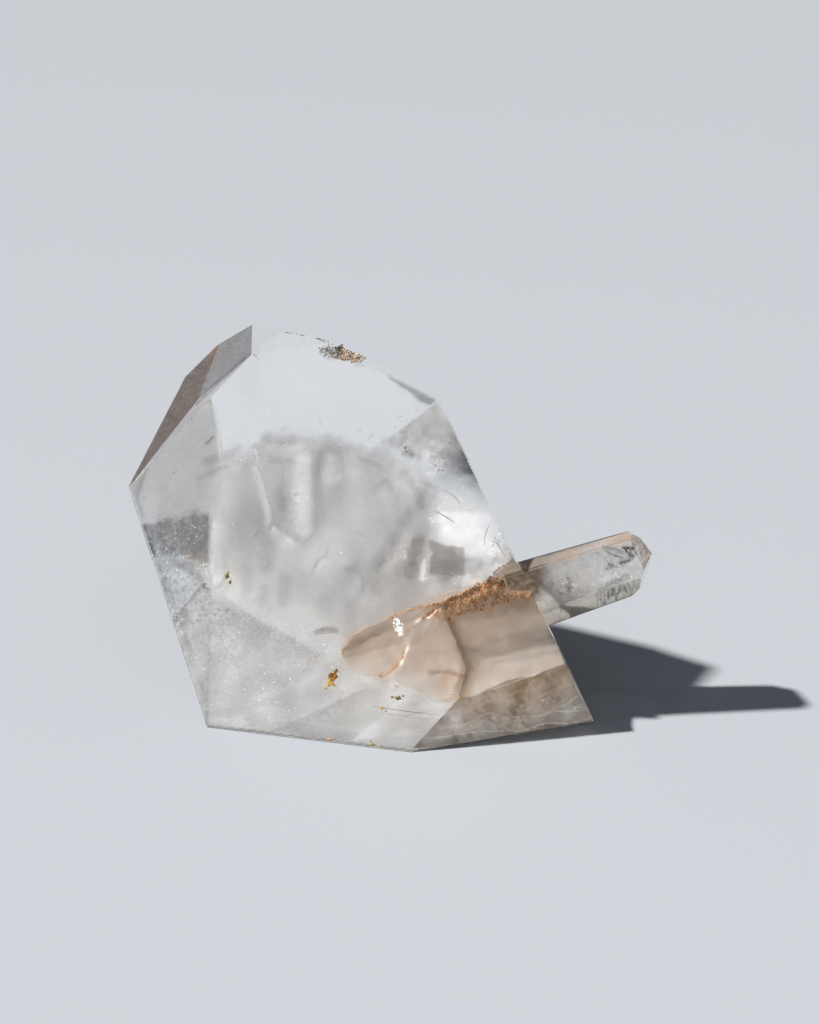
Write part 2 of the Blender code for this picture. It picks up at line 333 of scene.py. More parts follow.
def bent(ray, turn):
    """The way in which a sight goes on inside the quartz, past a face with that normal."""
    slant = -ray.dot(turn)
    share = 1 / QUARTZ_BENDS
    inner = math.sqrt(1 - share * share * (1 - slant * slant))
    return (ray * share + turn * (share * slant - inner)).normalized()


FRONT_TURN = Vector((-0.157, -0.653, 0.741)).normalized()
FRONT_POINT = at((0, 0, 0))


def behind_front(u, v):
    """Where the front face shows at a photo point, and the way the sight goes on inside."""
    ray = sight(u, v)
    reach = (FRONT_POINT - EYE).dot(FRONT_TURN) / ray.dot(FRONT_TURN)
    return EYE + ray * reach, bent(ray, FRONT_TURN)


def room_along(start, ray):
    """How deep the crystal is along a way inside it, in millimetres."""
    just_inside = start + ray * 0.02 * MM
    place, turn, _, away = skin.ray_cast(just_inside, ray)
    return away / MM if place is not None and turn.dot(ray) > 0 else 0.0


def soft(value, start, end):
    """A smooth step from 0 at start to 1 at end."""
    share = min(1.0, max(0.0, (value - start) / (end - start)))
    return share * share * (3 - 2 * share)


def bump(u, v, mu, mv, wide, high, turn=0.0):
    """A soft round or long spot at a photo point, turned by an angle in degrees."""
    c, s = math.cos(math.radians(turn)), math.sin(math.radians(turn))
    x, y = (u - mu) * c + (v - mv) * s, (v - mv) * c - (u - mu) * s
    return math.exp(-((x / wide) ** 2 + (y / high) ** 2))


def line_at(points, u):
    """The height at u of a line through points from left to right."""
    if u <= points[0][0]:
        return points[0][1]
    for (a, b), (c, d) in zip(points, points[1:]):
        if u <= c:
            return b + (d - b) * (u - a) / (c - a)
    return points[-1][1]


def spots(rows, u, v):
    """The sum of bumps at a photo point. Each row has a strength, then what bump takes."""
    return sum(strength * bump(u, v, *spot) for strength, *spot in rows)


def milk(name, colour, through=0.45, other=None, grain=FINE_GRAIN, plates=None):
    """White bubble veil: dull, lit from both sides, and as thick as its cover attribute says. With
    an other colour it goes over to that where its tone attribute says. grain is the scale of
    its fine unevenness and how thin and thick that makes it. Where the bubbles are flat plates
    that all lie one way, plates is the way that they face."""
    paint = bpy.data.materials.new(name)
    paint.use_nodes = True
    tree = paint.node_tree
    body = tree.nodes["Principled BSDF"]
    body.inputs["Base Color"].default_value = (*colour, 1)
    body.inputs["Roughness"].default_value = 1.0
    body.inputs["Specular IOR Level"].default_value = 0.0
    glow = tree.nodes.new("ShaderNodeBsdfTranslucent")
    glow.inputs["Color"].default_value = (*colour, 1)
    if other:
        shaded = blend(tree, mark_mask(tree, "tone"), colour, other)
        tree.links.new(shaded, body.inputs["Base Color"])
        tree.links.new(shaded, glow.inputs["Color"])
    if plates:
        facing = tree.nodes.new("ShaderNodeCombineXYZ")
        for k in range(3):
            facing.inputs[k].default_value = plates[k]
        tree.links.new(facing.outputs["Vector"], body.inputs["Normal"])
    both = mixed(tree, through, body.outputs["BSDF"], glow.outputs["BSDF"])
    gap = tree.nodes.new("ShaderNodeBsdfTransparent")
    scale, thin, thick = grain
    thickness = mark_mask(tree, "cover", noise_mask(tree, scale, 0.3, 0.7, 2.0, 0.65, thin, thick))
    veiled = mixed(tree, thickness, gap.outputs["BSDF"], both)
    tree.links.new(veiled, tree.nodes["Material Output"].inputs["Surface"])
    return paint


def write_marks(mesh, **marks):
    """Keep values of the vertices as attributes, which the materials read by name."""
    for mark, values in marks.items():
        mesh.attributes.new(mark, "FLOAT", "POINT").data.foreach_set("value", values)


def flat_grid(name, across, down):
    """A fresh sheet of that many cells, 2 units wide, to be laid in place."""
    bpy.ops.object.select_all(action="DESELECT")
    bpy.ops.mesh.primitive_grid_add(x_subdivisions=across, y_subdivisions=down, size=2)
    sheet = bpy.context.object
    sheet.name = name
    return sheet


def trimmed(mesh, is_bare):
    """Delete the faces whose corners' indices is_bare finds bare, and smooth the others."""
    keep = bmesh.new()
    keep.from_mesh(mesh)
    bare = [face for face in keep.faces if is_bare([vert.index for vert in face.verts])]
    bmesh.ops.delete(keep, geom=bare, context="FACES")
    keep.to_mesh(mesh)
    keep.free()
    for face in mesh.polygons:
        face.use_smooth = True


def set_in_quartz(piece, paint, shadow=False):
    """Give a piece its finish and fix it in the crystal."""
    piece.data.materials.append(paint)
    piece.visible_shadow = shadow
    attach(piece, "root")


LEAST_ROOM_MM, THIN_ROCK_MM, LEAST_COVER, STEEPEST = 0.11, 0.4, 0.012, 0.45
FRONT_FADE_MM, BACK_FADE_MM = (0.05, 0.2), (0.1, 0.6)
FRONT_GAP_MM, BACK_GAP_MM = 0.1, 0.15


def veil(name, window, deep, cover, paint, cell=CELL_PX, fade=7):
    """A sheet inside the crystal, behind its front face: window is its photo area, left, top, right
    and low. deep and cover are worked at each point, deep in millimetres behind the face and
    cover from 0, clear, to 1. Near the window's sides it fades over that many photo pixels."""
    left, top, right, low = window
    sheet = flat_grid(name, round((right - left) / cell), round((low - top) / cell))
    thickness, depths = [], []
    for vert in sheet.data.vertices:
        u = left + (right - left) * (vert.co.x + 1) / 2
        v = low + (top - low) * (vert.co.y + 1) / 2
        start, ray = behind_front(u, v)
        room_mm = room_along(start, ray)
        if room_mm < LEAST_ROOM_MM:
            thickness.append(-1.0)
            depths.append(0.0)
            continue
        depth = deep(u, v, room_mm)
        edge = soft(room_mm - depth, *BACK_FADE_MM) * soft(depth, *FRONT_FADE_MM)
        edge *= soft(min(u - left, right - u, v - top, low - v), 0, fade)
        thickness.append(max(0.0, cover(u, v) * edge if room_mm > THIN_ROCK_MM else 0.0))
        depth = min(max(depth, FRONT_GAP_MM), max(FRONT_GAP_MM, room_mm - BACK_GAP_MM))
        depths.append(depth)
        vert.co = start + ray * depth * MM
    write_marks(sheet.data, cover=thickness)

    def is_bare(corners):
        covers = [thickness[k] for k in corners]
        deeps = [depths[k] for k in corners]
        steep = max(deeps) - min(deeps) > STEEPEST * cell
        return steep or min(covers) < 0 or max(covers) < LEAST_COVER

    trimmed(sheet.data, is_bare)
    set_in_quartz(sheet, paint)


CLOUD_TOP = (
    (190, 520), (199, 484), (211, 462), (235, 452), (254, 446), (262, 437), (297, 431),
    (342, 438), (385, 451), (419, 469), (437, 484), (448, 520), (452, 560),
)
CLOUD_LOW = (
    (190, 560), (206, 580), (214, 596), (252, 613), (283, 629), (320, 652), (345, 664),
    (400, 640), (440, 622), (520, 596),
)
CLOUD_LEFT_U, CLOUD_RIGHT_U = 199, 441


def uneven(u, v, wide, high, seed):
    """A smooth random value around 0 at a photo point, in patches that many pixels wide and high."""
    return noise.noise(Vector((u / wide, v / high, seed)))


def cloud_shape(u, v, ragged, seed):
    """How far a point lies inside the cloud's outline in photo pixels, with ragged edges."""
    wave = uneven(u, v, 26, 26, seed) + 0.6 * uneven(u, v, 9, 9, seed)
    inside = min(v - line_at(CLOUD_TOP, u), (line_at(CLOUD_LOW, u) - v) * 0.8)
    return min(inside, u - CLOUD_LEFT_U, CLOUD_RIGHT_U - u) + ragged * wave


FRONT_FOLDS = (
    (0.85, 306, 492, 13, 52, -4),
    (0.5, 334, 470, 10, 24, 3),
    (-0.35, 322, 470, 6, 22),
    (-0.6, 287, 512, 9, 24),
    (0.7, 232, 500, 20, 60, 8),
    (1.0, 415, 505, 12, 60, 14),
    (-0.8, 396, 545, 9, 46, 30),
    (0.9, 345, 560, 24, 34, 40),
    (0.6, 372, 500, 20, 60, -10),
)


def folds(u, v):
    """The folds of the front veil, in millimetres towards the viewer."""
    height = spots(FRONT_FOLDS, u, v)
    height += 0.45 * uneven(u, v, 36, 60, 3.0)
    height += 0.06 * uneven(u, v, 13, 21, 5.0)
    return height


CLOUD_FRONT_WINDOW, CLOUD_LAYER_WINDOW = (188, 424, 458, 660), (186, 420, 462, 662)
cloud_milk = milk("cloud_milk", (0.725, 0.72, 0.72), 0.32)
veil(
    "cloud_front",
    window=CLOUD_FRONT_WINDOW,
    deep=lambda u, v, room_mm: min(4.2, room_mm * 0.45) - folds(u, v),
    cover=lambda u, v: 0.72 * soft(cloud_shape(u, v, 5, 1.0), 0, 16),
    paint=cloud_milk,
    cell=2.4,
)
for k in range(8):
    share = 0.28 + 0.08 * k
    seed = 11.0 + 3.7 * k
    strength = 0.42 - 0.02 * k

    def layer_depth(u, v, room_mm):
        return min(room_mm * share, 4.0 + 14 * (share - 0.2)) + 1.2 * uneven(u, v, 34, 40, seed)

    def layer_cover(u, v):
        thick = 0.75 + 0.9 * uneven(u, v, 22, 34, seed + 9)
        return strength * soft(cloud_shape(u, v, 14, seed), 0, 14) * thick

    veil(
        f"cloud_layer_{k + 1}",
        window=CLOUD_LAYER_WINDOW,
        deep=layer_depth,
        cover=layer_cover,
        paint=cloud_milk,
        cell=3.6,
    )

# Folds of the cloud. Where a veil turns towards the light it is nearly white, often with one sharp
# edge. Where it turns away, a brownish grey sheet in front of it is painted shade, with a few dark
# marks among it. Each is drawn by the line that it follows.
def nearest_on(path, u, v):
    """How far a photo point lies from a path, on which side, and from which point of it."""
    least, best = 1e9, (0.0, path[0])
    for (a, b), (c, d) in zip(path, path[1:]):
        long = (c - a) ** 2 + (d - b) ** 2
        share = min(1.0, max(0.0, ((u - a) * (c - a) + (v - b) * (d - b)) / long))
        foot = (a + share * (c - a), b + share * (d - b))
        far = math.dist((u, v), foot)
        if far < least:
            least = far
            best = ((c - a) * (v - b) - (d - b) * (u - a), foot)
    return least, math.copysign(1.0, best[0]), best[1]


def drawn(strokes, u, v, seed):
    """How strongly strokes cover a photo point, and the point of the strongest one. A stroke has a
    path, a half width and a strength, and with a fourth value it is sharp along its left side."""
    wave = 1.6 * uneven(u, v, 7, 7, seed)
    most, foot = 0.0, (u, v)
    for path, half, strength, *ledge in strokes:
        far_u = max(min(x for x, _ in path) - u, u - max(x for x, _ in path))
        far_v = max(min(y for _, y in path) - v, v - max(y for _, y in path))
        if max(far_u, far_v) > half * 1.7 + 2:
            continue
        away, side, near = nearest_on(path, u, v)
        away += wave * min(1.0, half / 6)
        if ledge:
            here = soft(away * side, -0.8, 0.8) * (1 - soft(away, half * 0.1, half * 1.6))
        else:
            here = 1 - soft(away, half * 0.3, half * 1.6)
        if here * strength > most:
            most, foot = here * strength, near
    return most, foot


# Each stroke: its path in the photo, half its width there, its strength, and whether it is sharp.
FOLDS_LIGHT = (
    (((258, 470), (264, 490), (269, 508), (271, 524)), 6, 0.50, True),
    (((259, 474), (264, 492), (269, 510), (270, 523)), 1.4, 0.5),
    (((305, 462), (302, 500), (304, 530)), 8, 0.42),
    (((300, 528), (299, 500), (302, 464)), 12, 0.22, True),
    (((292, 492), (297, 494)), 1.6, 0.6),
    (((294, 502), (299, 503)), 1.2, 0.5),
    (((330, 462), (334, 476)), 8, 0.28),
    (((277, 528), (283, 532), (289, 537)), 10, 0.40, True),
    (((314, 558), (327, 542), (340, 560)), 14, 0.18),
    (((325, 565), (350, 585)), 14, 0.2),
    (((212, 576), (209, 560), (208, 545), (211, 528)), 12, 0.50, True),
    (((216, 574), (222, 592)), 12, 0.16),
    (((324, 653), (300, 640), (283, 629), (264, 621), (250, 612), (234, 603)), 20, 0.28, True),
    (((248, 611), (256, 617), (264, 621), (283, 629), (310, 645)), 1.0, 0.45),
    (((262, 447), (285, 450), (302, 446)), 4, 0.14),
    (((226, 467), (237, 468)), 4, 0.3),
    (((252, 440), (256, 452), (258, 462)), 1.5, 0.45),
    (((376, 446), (397, 458), (408, 475), (413, 498)), 14, 0.16, True),
    (((405, 481), (418, 484), (432, 491)), 1.0, 0.45),
    (((404, 466), (416, 478)), 1.0, 0.4),
    (
        ((362, 470), (386, 478), (398, 500), (401, 525), (392, 545), (378, 566), (372, 588)),
        18, 0.14, True,
    ),
    (((404, 551), (405, 557)), 2.2, 0.6),
    (((424, 560), (423, 568)), 1.8, 0.8),
    (((423, 566), (423, 578)), 3.2, 0.8),
    (((420, 578), (427, 578)), 2.2, 0.7),
    (((434, 443), (440, 448)), 4, 0.7),
    (((428, 473), (434, 474)), 2.5, 0.7),
    (((430, 455), (446, 464)), 8, 0.4),
    (((180, 562), (195, 560), (205, 566)), 0.9, 0.5),
    (((188, 575), (203, 578)), 0.8, 0.4),
    (((165, 612), (172, 620)), 5, 0.4),
    (((152, 566), (166, 574), (182, 580)), 6, 0.25),
    (((216, 644), (236, 650)), 8, 0.22),
    (((214, 724), (240, 721)), 6, 0.2),
    (((300, 690), (317, 672), (324, 660)), 5, 0.15),
    (((320, 554), (344, 576), (367, 597)), 0.7, 0.3),
    (((352, 740), (380, 718), (397, 699)), 14, 0.25, True),
)
# Painted shade of the folds that turn from the light, with a few dark marks.
FOLD_SHADE_AND_DARK_MARKS = (
    (((264, 438), (280, 441), (294, 439)), 5, 0.24),
    (((253, 446), (262, 447)), 3, 0.30),
    (((206, 462), (222, 457), (237, 449)), 4.5, 0.34),
    (((212, 471), (226, 466)), 2.6, 0.3),
    (((197, 479), (215, 471)), 2.6, 0.3),
    (((270, 460), (292, 462)), 3.5, 0.25),
    (((321, 456), (324, 462)), 5, 0.20),
    (((292, 538), (284, 532), (278, 528)), 16, 0.30, True),
    (((287, 502), (289, 515), (287, 527)), 8, 0.34),
    (((264, 524), (268, 545), (266, 565)), 8, 0.30),
    (((285, 580), (284, 600)), 7, 0.25),
    (((264, 590), (262, 600)), 6, 0.22),
    (((246, 570), (247, 588)), 6, 0.18),
    (((255, 536), (263, 528)), 1.2, 0.35),
    (((376, 586), (384, 568), (398, 548), (405, 526), (402, 500)), 12, 0.34),
    (((418, 542), (415, 556), (410, 572)), 8, 0.62),
    (((400, 566), (384, 579), (376, 588)), 9, 0.42),
    (((386, 482), (397, 500), (400, 518)), 4, 0.3),
    (((360, 459), (380, 466)), 2.6, 0.25),
    (((404, 474), (416, 492), (421, 505)), 5, 0.30),
    (((405, 452), (411, 455)), 4, 0.55),
    (((385, 441), (400, 443)), 5, 0.22),
    (((325, 602), (326, 615)), 9, 0.2),
    (((236, 606), (264, 624), (283, 632), (322, 656)), 16, 0.2, True),
    (((272, 730), (305, 716), (342, 699)), 26, 0.34, True),
    (((317, 632), (326, 629), (336, 630)), 3.2, 0.5),
    (((370, 357), (400, 372), (438, 394)), 5, 0.26),
    (((410, 384), (436, 398)), 10, 0.14),
    (((195, 512), (194, 556)), 4, 0.45),
    (((205, 518), (206, 560)), 3, 0.5),
    (((144, 526), (143, 536)), 3, 0.45),
    (((160, 524), (158, 536)), 3, 0.4),
    (((141, 560), (152, 590), (166, 628)), 4, 0.35),
    (((176, 563), (190, 568), (200, 580)), 4, 0.35),
    (((165, 582), (163, 602)), 5, 0.3),
    (((185, 612), (186, 623)), 4, 0.4),
    (((206, 444), (213, 437)), 1.2, 0.6),
    (((211, 404), (216, 428), (222, 452)), 1.0, 0.35),
)
FRONT_EDGE = ((130, 486), (146, 466), (168, 436), (190, 412), (216, 388), (240, 366), (250, 355))
FOLDS_LIGHT_WINDOW, FOLD_SHADE_WINDOW = (134, 428, 450, 746), (134, 346, 450, 746)
LIGHT_COMES = (0.75, 0.66)


def on_front(u, v):
    """1 where the front face shows, fading just inside its upper left edge."""
    return soft(v - line_at(FRONT_EDGE, u), 1, 5)


def fold_depth(u, v, room_mm):
    """A fold rises towards the side that the light comes from, and so catches it."""
    foot = drawn(FOLDS_LIGHT, u, v, 1.0)[1]
    along = (u - foot[0]) * LIGHT_COMES[0] + (v - foot[1]) * LIGHT_COMES[1]
    return min(1.7, room_mm * 0.5) - 0.055 * along


def fold_shade_cover(u, v):
    """How thickly the painted shade of the folds and a few dark marks cover a photo point."""
    streaks = 1 + 0.4 * uneven(u, v, 5, 7, 7)
    return drawn(FOLD_SHADE_AND_DARK_MARKS, u, v, 6.0)[0] * on_front(u, v) * streaks


veil(
    "folds_light",
    window=FOLDS_LIGHT_WINDOW,
    deep=fold_depth,
    cover=lambda u, v: drawn(FOLDS_LIGHT, u, v, 1.0)[0] * (1 + 0.35 * uneven(u, v, 5, 8, 2)),
    paint=milk("fold_white", (0.96, 0.96, 0.97), 0.1),
    cell=1.7,
)
veil(
    "folds_shade_and_marks",
    window=FOLD_SHADE_WINDOW,
    deep=lambda u, v, room_mm: min(0.9, room_mm * 0.4),
    cover=fold_shade_cover,
    paint=milk("fold_shade", (0.33, 0.31, 0.29), 0.2),
    cell=1.7,
)

# Broken skin. The walls of the scoop and of the pit are matt where the quartz was torn, a little
# paler than the clear rock, with cream and brownish streaks and rust soaked in along the rims.
# The cream bands also hold painted highlights on lit lips, ridges and step edges, and the brown
# ones painted shade under the crust, in recesses and beside the steps.
RUST_BANDS = (
    (((428, 605), (460, 597), (490, 588), (500, 585)), 8, 0.95),
    (((450, 608), (480, 600), (508, 592)), 6, 0.9),
    (((455, 616), (470, 611), (492, 606)), 6, 0.85),
    (((470, 607), (500, 601), (525, 598), (548, 600)), 4, 0.45),
    (((505, 594), (525, 592), (541, 592)), 2.4, 0.8),
    (((398, 614), (415, 608), (430, 605)), 3.2, 0.9),
    (((428, 611), (440, 618), (449, 622)), 2.4, 0.8),
    (((340, 668), (341, 655), (350, 640), (370, 626), (400, 613)), 1.6, 0.7),
    (((376, 677), (388, 673), (398, 664), (403, 655)), 1.6, 0.85),
    (((462, 668), (458, 690), (455, 702)), 1.6, 0.6),
    (((429, 670), (444, 667), (462, 672)), 1.2, 0.45),
    (((445, 677), (450, 686)), 4, 0.6),
    (((543, 596), (548, 610), (551, 622)), 2.4, 0.35),
)
# Cream streaks of the rock, and painted highlights and painted light on lit lips, ridges and step edges.
CREAM_AND_LIGHT_BANDS = (
    (((472, 702), (500, 688), (540, 674), (563, 667)), 3.4, 0.95),
    (((480, 690), (500, 682)), 8, 0.5),
    (((486, 644), (500, 641), (508, 634)), 9, 0.55),
    (((500, 660), (530, 660), (556, 655)), 8, 0.3),
    (((472, 654), (500, 641), (524, 640), (552, 632)), 13, 0.88),
    (((350, 662), (366, 660), (392, 655)), 9, 0.45),
    (((403, 630), (404, 652)), 1.3, 0.8),
    (((447, 622), (455, 640), (466, 668)), 7, 0.8, True),
    (((416, 619), (432, 630)), 1.2, 0.8),
    (((432, 619), (416, 630)), 1.0, 0.5),
    (((436, 670), (462, 673)), 1.4, 0.8),
)
# Brownish stain, and painted shade under the crust, in the recesses and beside the steps.
STAIN_AND_SHADE_BANDS = (
    (((452, 612), (485, 609), (515, 604), (548, 602)), 15, 0.80),
    (((462, 622), (480, 624)), 9, 0.4),
    (((496, 584), (506, 575), (514, 566)), 12, 0.9),
    (((350, 646), (362, 638), (378, 630), (392, 622)), 8, 0.85),
    (((376, 650), (384, 640)), 8, 0.35),
    (((400, 618), (415, 615), (432, 616)), 6, 0.5),
    (((412, 641), (420, 637)), 4, 0.4),
    (((466, 668), (455, 640), (447, 622)), 13, 0.95, True),
    (((462, 640), (468, 655), (470, 672)), 7, 0.5),
    (((456, 702), (462, 684), (466, 668)), 10, 0.95, True),
    (((430, 672), (446, 671), (462, 676)), 2.6, 0.9),
    (((446, 678), (456, 686)), 4, 0.6),
    (((512, 640), (524, 636)), 6, 0.35),
    (((553, 640), (549, 616), (545, 596)), 5, 0.6, True),
)
skin_sheet = bmesh.new()
skin_sheet.from_mesh(crystal_mesh)
skin_sheet.faces.ensure_lookup_table()
whole = [face for face, kind in zip(skin_sheet.faces, kinds) if kind not in (BROKEN, CLAY)]
bmesh.ops.delete(skin_sheet, geom=whole, context="FACES")
bmesh.ops.triangulate(skin_sheet, faces=skin_sheet.faces)
bmesh.ops.subdivide_edges(skin_sheet, edges=skin_sheet.edges, cuts=1, use_grid_fill=True)
broken_mesh = bpy.data.meshes.new("broken_skin")
skin_sheet.to_mesh(broken_mesh)
skin_sheet.free()
broken_skin = bpy.data.objects.new("broken_skin", broken_mesh)
scene.collection.objects.link(broken_skin)
PALE_FROM, PALE_SLANT = (458, 480), (650, 0.3)


def shown_at(place):
    """The photo point at which the camera sees a place."""
    seen_from = Matrix.Rotation(-EYE_TILT, 3, "X") @ (place - EYE)
    u = PHOTO_WIDE / 2 - seen_from.x / seen_from.z * LENS_PX
    return u, PHOTO_HIGH / 2 + seen_from.y / seen_from.z * LENS_PX


inward = [vert.normal.copy() for vert in broken_mesh.vertices]
rows = []
for vert, out_of_rock in zip(broken_mesh.vertices, inward):
    u, v = shown_at(vert.co)
    rust = drawn(RUST_BANDS, u, v, 31.0)[0]
    cream = drawn(CREAM_AND_LIGHT_BANDS, u, v, 32.0)[0]
    brown = drawn(STAIN_AND_SHADE_BANDS, u, v, 33.0)[0]
    streak = 0.5 + 0.5 * uneven(u, v, 18, 10, 4.0)
    pale = soft(u + (v - PALE_SLANT[0]) * PALE_SLANT[1], *PALE_FROM)
    clay = 1.0 if vert.co.z / MM > PIT_FLOOR_MM else 0.0
    cover = max(0.34 + 0.26 * streak, 0.9 * rust, 0.7 * cream, 0.86 * brown, clay)
    rows.append((rust, cream, brown, pale, clay, cover))
    vert.co -= out_of_rock * (0.12 - 0.10 * clay) * MM
rust, cream, brown, pale, clay, cover = zip(*rows)
write_marks(broken_mesh, rust=rust, cream=cream, brown=brown, pale=pale, clay=clay, cover=cover)
for face in broken_mesh.polygons:
    face.use_smooth = True
broken_milk = milk("broken_milk", (0.9, 0.8, 0.7), 0.35)
tree = broken_milk.node_tree
body = blend(tree, noise_mask(tree, 210, 0.35, 0.65), (0.84, 0.71, 0.61), (0.87, 0.78, 0.70))
body = blend(tree, mark_mask(tree, "pale"), body, (0.80, 0.745, 0.685))
# Cream streaks with painted highlights, then brownish stain with painted shade.
body = blend(tree, mark_mask(tree, "cream"), body, (0.95, 0.90, 0.84))
body = blend(tree, mark_mask(tree, "brown"), body, (0.45, 0.32, 0.215))
rusty = blend(tree, noise_mask(tree, 1500, 0.4, 0.6), (0.72, 0.33, 0.13), (0.90, 0.62, 0.38))
rust_mask = mark_mask(tree, "rust", noise_mask(tree, 900, 0.30, 0.52))
body = blend(tree, rust_mask, body, rusty)
clayey = blend(tree, noise_mask(tree, 1300, 0.4, 0.6), (0.20, 0.13, 0.08), (0.62, 0.45, 0.30))
body = blend(tree, mark_mask(tree, "clay"), body, clayey)
tree.links.new(body, tree.nodes["Principled BSDF"].inputs["Base Color"])
tree.links.new(body, tree.nodes["Translucent BSDF"].inputs["Color"])
SEEN_FROM_INSIDE = 0.75
from_inside = tree.nodes.new("ShaderNodeNewGeometry")
share = tree.nodes.new("ShaderNodeMath")
share.operation = "MULTIPLY"
share.inputs[1].default_value = SEEN_FROM_INSIDE
tree.links.new(from_inside.outputs["Backfacing"], share.inputs[0])
surface = tree.nodes["Material Output"].inputs["Surface"]
gap = tree.nodes["Transparent BSDF"].outputs["BSDF"]
thinner = mixed(tree, share.outputs["Value"], surface.links[0].from_socket, gap)
tree.links.new(thinner, surface)
set_in_quartz(broken_skin, broken_milk)

# Milky foot. The cut base runs through the crystal's cloudy root, so an even grey haze of fine
# bubbles lies just over it, in three wavy layers that get thinner upwards.
def depth_inside(place):
    """How far a place lies inside the crystal, in metres, below 0 outside."""
    away = skin.find_nearest(place)[3]
    above, turn, _, _ = skin.ray_cast(place, Vector((0, 0, 1)))
    return away if above is not None and turn.z > 0 else -away


def milk_layer(name, ground, turn, level_mm, wave_mm, paint, cover, tone=None, cell_mm=0.4):
    """A wavy sheet right through the inside of the crystal. ground is its area as seen from above,
    in millimetres from the front corner, and level_mm its distance from there along its turn.
    cover and tone are worked from the place, its photo point and its depth inside."""
    x_low, y_low, x_high, y_high = ground
    sheet = flat_grid(name, round((x_high - x_low) / cell_mm), round((y_high - y_low) / cell_mm))
    thickness, tones = [], []
    for vert in sheet.data.vertices:
        x = x_low + (x_high - x_low) * (vert.co.x + 1) / 2
        y = y_low + (y_high - y_low) * (vert.co.y + 1) / 2
        lift = level_mm + wave_mm * noise.noise(Vector((x / 4.5, y / 4.5, level_mm * 3.0)))
        place = Vector((x, y, (lift - turn.x * x - turn.y * y) / turn.z))
        vert.co = at(place)
        inside = depth_inside(vert.co) / MM
        strength = cover(place, *shown_at(vert.co), inside) if inside > 0.02 else 0.0
        thickness.append(max(0.0, strength))
        tones.append(tone(place) if tone else 0.0)
    write_marks(sheet.data, cover=thickness, tone=tones)
    trimmed(sheet.data, lambda corners: min(thickness[k] for k in corners) < 0.001)
    set_in_quartz(sheet, paint)


def patchy(place, size_mm, seed):
    """Slow unevenness over places in millimetres, around 1."""
    return 1 + 0.9 * noise.noise(Vector((place.x / size_mm, place.y / size_mm, seed)))


def foot_cover(place, u, v, inside):
    """The haze at the foot is even but for its patches, and ends at the faces."""
    return patchy(place, 4, 7.0) * soft(inside, 0.01, 0.06)


LEVEL = Vector((0, 0, 1))
FOOT_GROUND_MM = (-36, -1, 32, 47)
foot_milk = milk("foot_milk", (0.76, 0.76, 0.76), 0.35)
for k, (level, strength) in enumerate(((0.15, 0.80), (1.3, 0.35), (2.6, 0.22))):
    milk_layer(
        f"milky_foot_{k + 1}",
        ground=FOOT_GROUND_MM,
        turn=LEVEL,
        level_mm=level,
        wave_mm=level * 0.5,
        paint=foot_milk,
        cover=lambda *where: strength * foot_cover(*where),
        cell_mm=0.35,
    )

# Peach milk. Behind the broken scoop the quartz is full of fine warm-tinted bubbles, which glow
# through its matt walls, and the same milk greys the side point. It lies in thin tilted layers.
LAYERS_TURN = Vector((-0.10, -0.45, 0.89)).normalized()
LOWER_RIGHT_TURN = Vector((0.172, -0.848, 0.502)).normalized()
LOWER_RIGHT_CORNER = Vector((13.0, 2.0, 0.0))
SCOOP_RIM = (
    (335, 664), (342, 646), (352, 636), (375, 624), (398, 610), (430, 602), (480, 584), (604, 560),
)
SCOOP_FOOT = ((335, 664), (352, 672), (380, 682), (410, 680), (430, 690), (456, 716), (480, 760))
SCOOP_RIGHT_U, SCOOP_LOWEST_V = 604, 736


def scoop_cover(place, u, v, inside):
    """1 behind the scoop as the photo shows it, in patches, fading towards the faces."""
    ragged_edge = 7 * uneven(u, v, 14, 14, 41.0)
    near_scoop = soft(v - line_at(SCOOP_RIM, u) + 0.4 * ragged_edge, -3, 6)
    near_scoop *= soft(SCOOP_RIGHT_U - u, 0, 14)
    near_scoop *= soft(line_at(SCOOP_FOOT, u) - v + ragged_edge, -8, 14)
    near_scoop *= soft(SCOOP_LOWEST_V - v, 0, 40)
    from_facet = (LOWER_RIGHT_CORNER - place).dot(LOWER_RIGHT_TURN)
    return near_scoop * patchy(place, 3, 17.0) * soft(inside, 0.05, 0.3) * soft(from_facet, 0, 2.5)


SCOOP_GROUND_MM, POINT_GROUND_MM = (-15, -2, 27, 26), (13, 12, 38, 34)
peach_milk = milk("peach_milk", (0.69, 0.58, 0.485), 0.35)
for k, (level, strength) in enumerate(((0.7, 0.50), (-0.7, 0.55), (-2.2, 0.7))):
    milk_layer(
        f"scoop_milk_{k + 1}",
        ground=SCOOP_GROUND_MM,
        turn=LAYERS_TURN,
        level_mm=level,
        wave_mm=0.35,
        paint=peach_milk,
        cover=lambda *where: strength * scoop_cover(*where),
    )
POINT_LEFT, POINT_LOW = ((400, 532), (800, 452)), ((400, 599), (660, 625))


def point_cover(place, u, v, inside):
    """The milk of the side point starts at the broken face's right rim and ends at its low edge."""
    within = soft(u - line_at(POINT_LEFT, v), -2, 5) * soft(line_at(POINT_LOW, u) - v, 0, 8)
    return 0.45 * patchy(place, 2.2, 29.0) * soft(inside, 0.1, 0.9) * within


point_milk = milk("point_milk", (0.78, 0.78, 0.775), 0.35, (0.50, 0.40, 0.30))
for k in range(6):
    milk_layer(
        f"point_milk_{k + 1}",
        ground=POINT_GROUND_MM,
        turn=LAYERS_TURN,
        level_mm=5.0 - 1.25 * k,
        wave_mm=0.4,
        paint=point_milk,
        cover=point_cover,
        tone=lambda place: 1 - soft(place.x, 15.5, 20.5),
    )

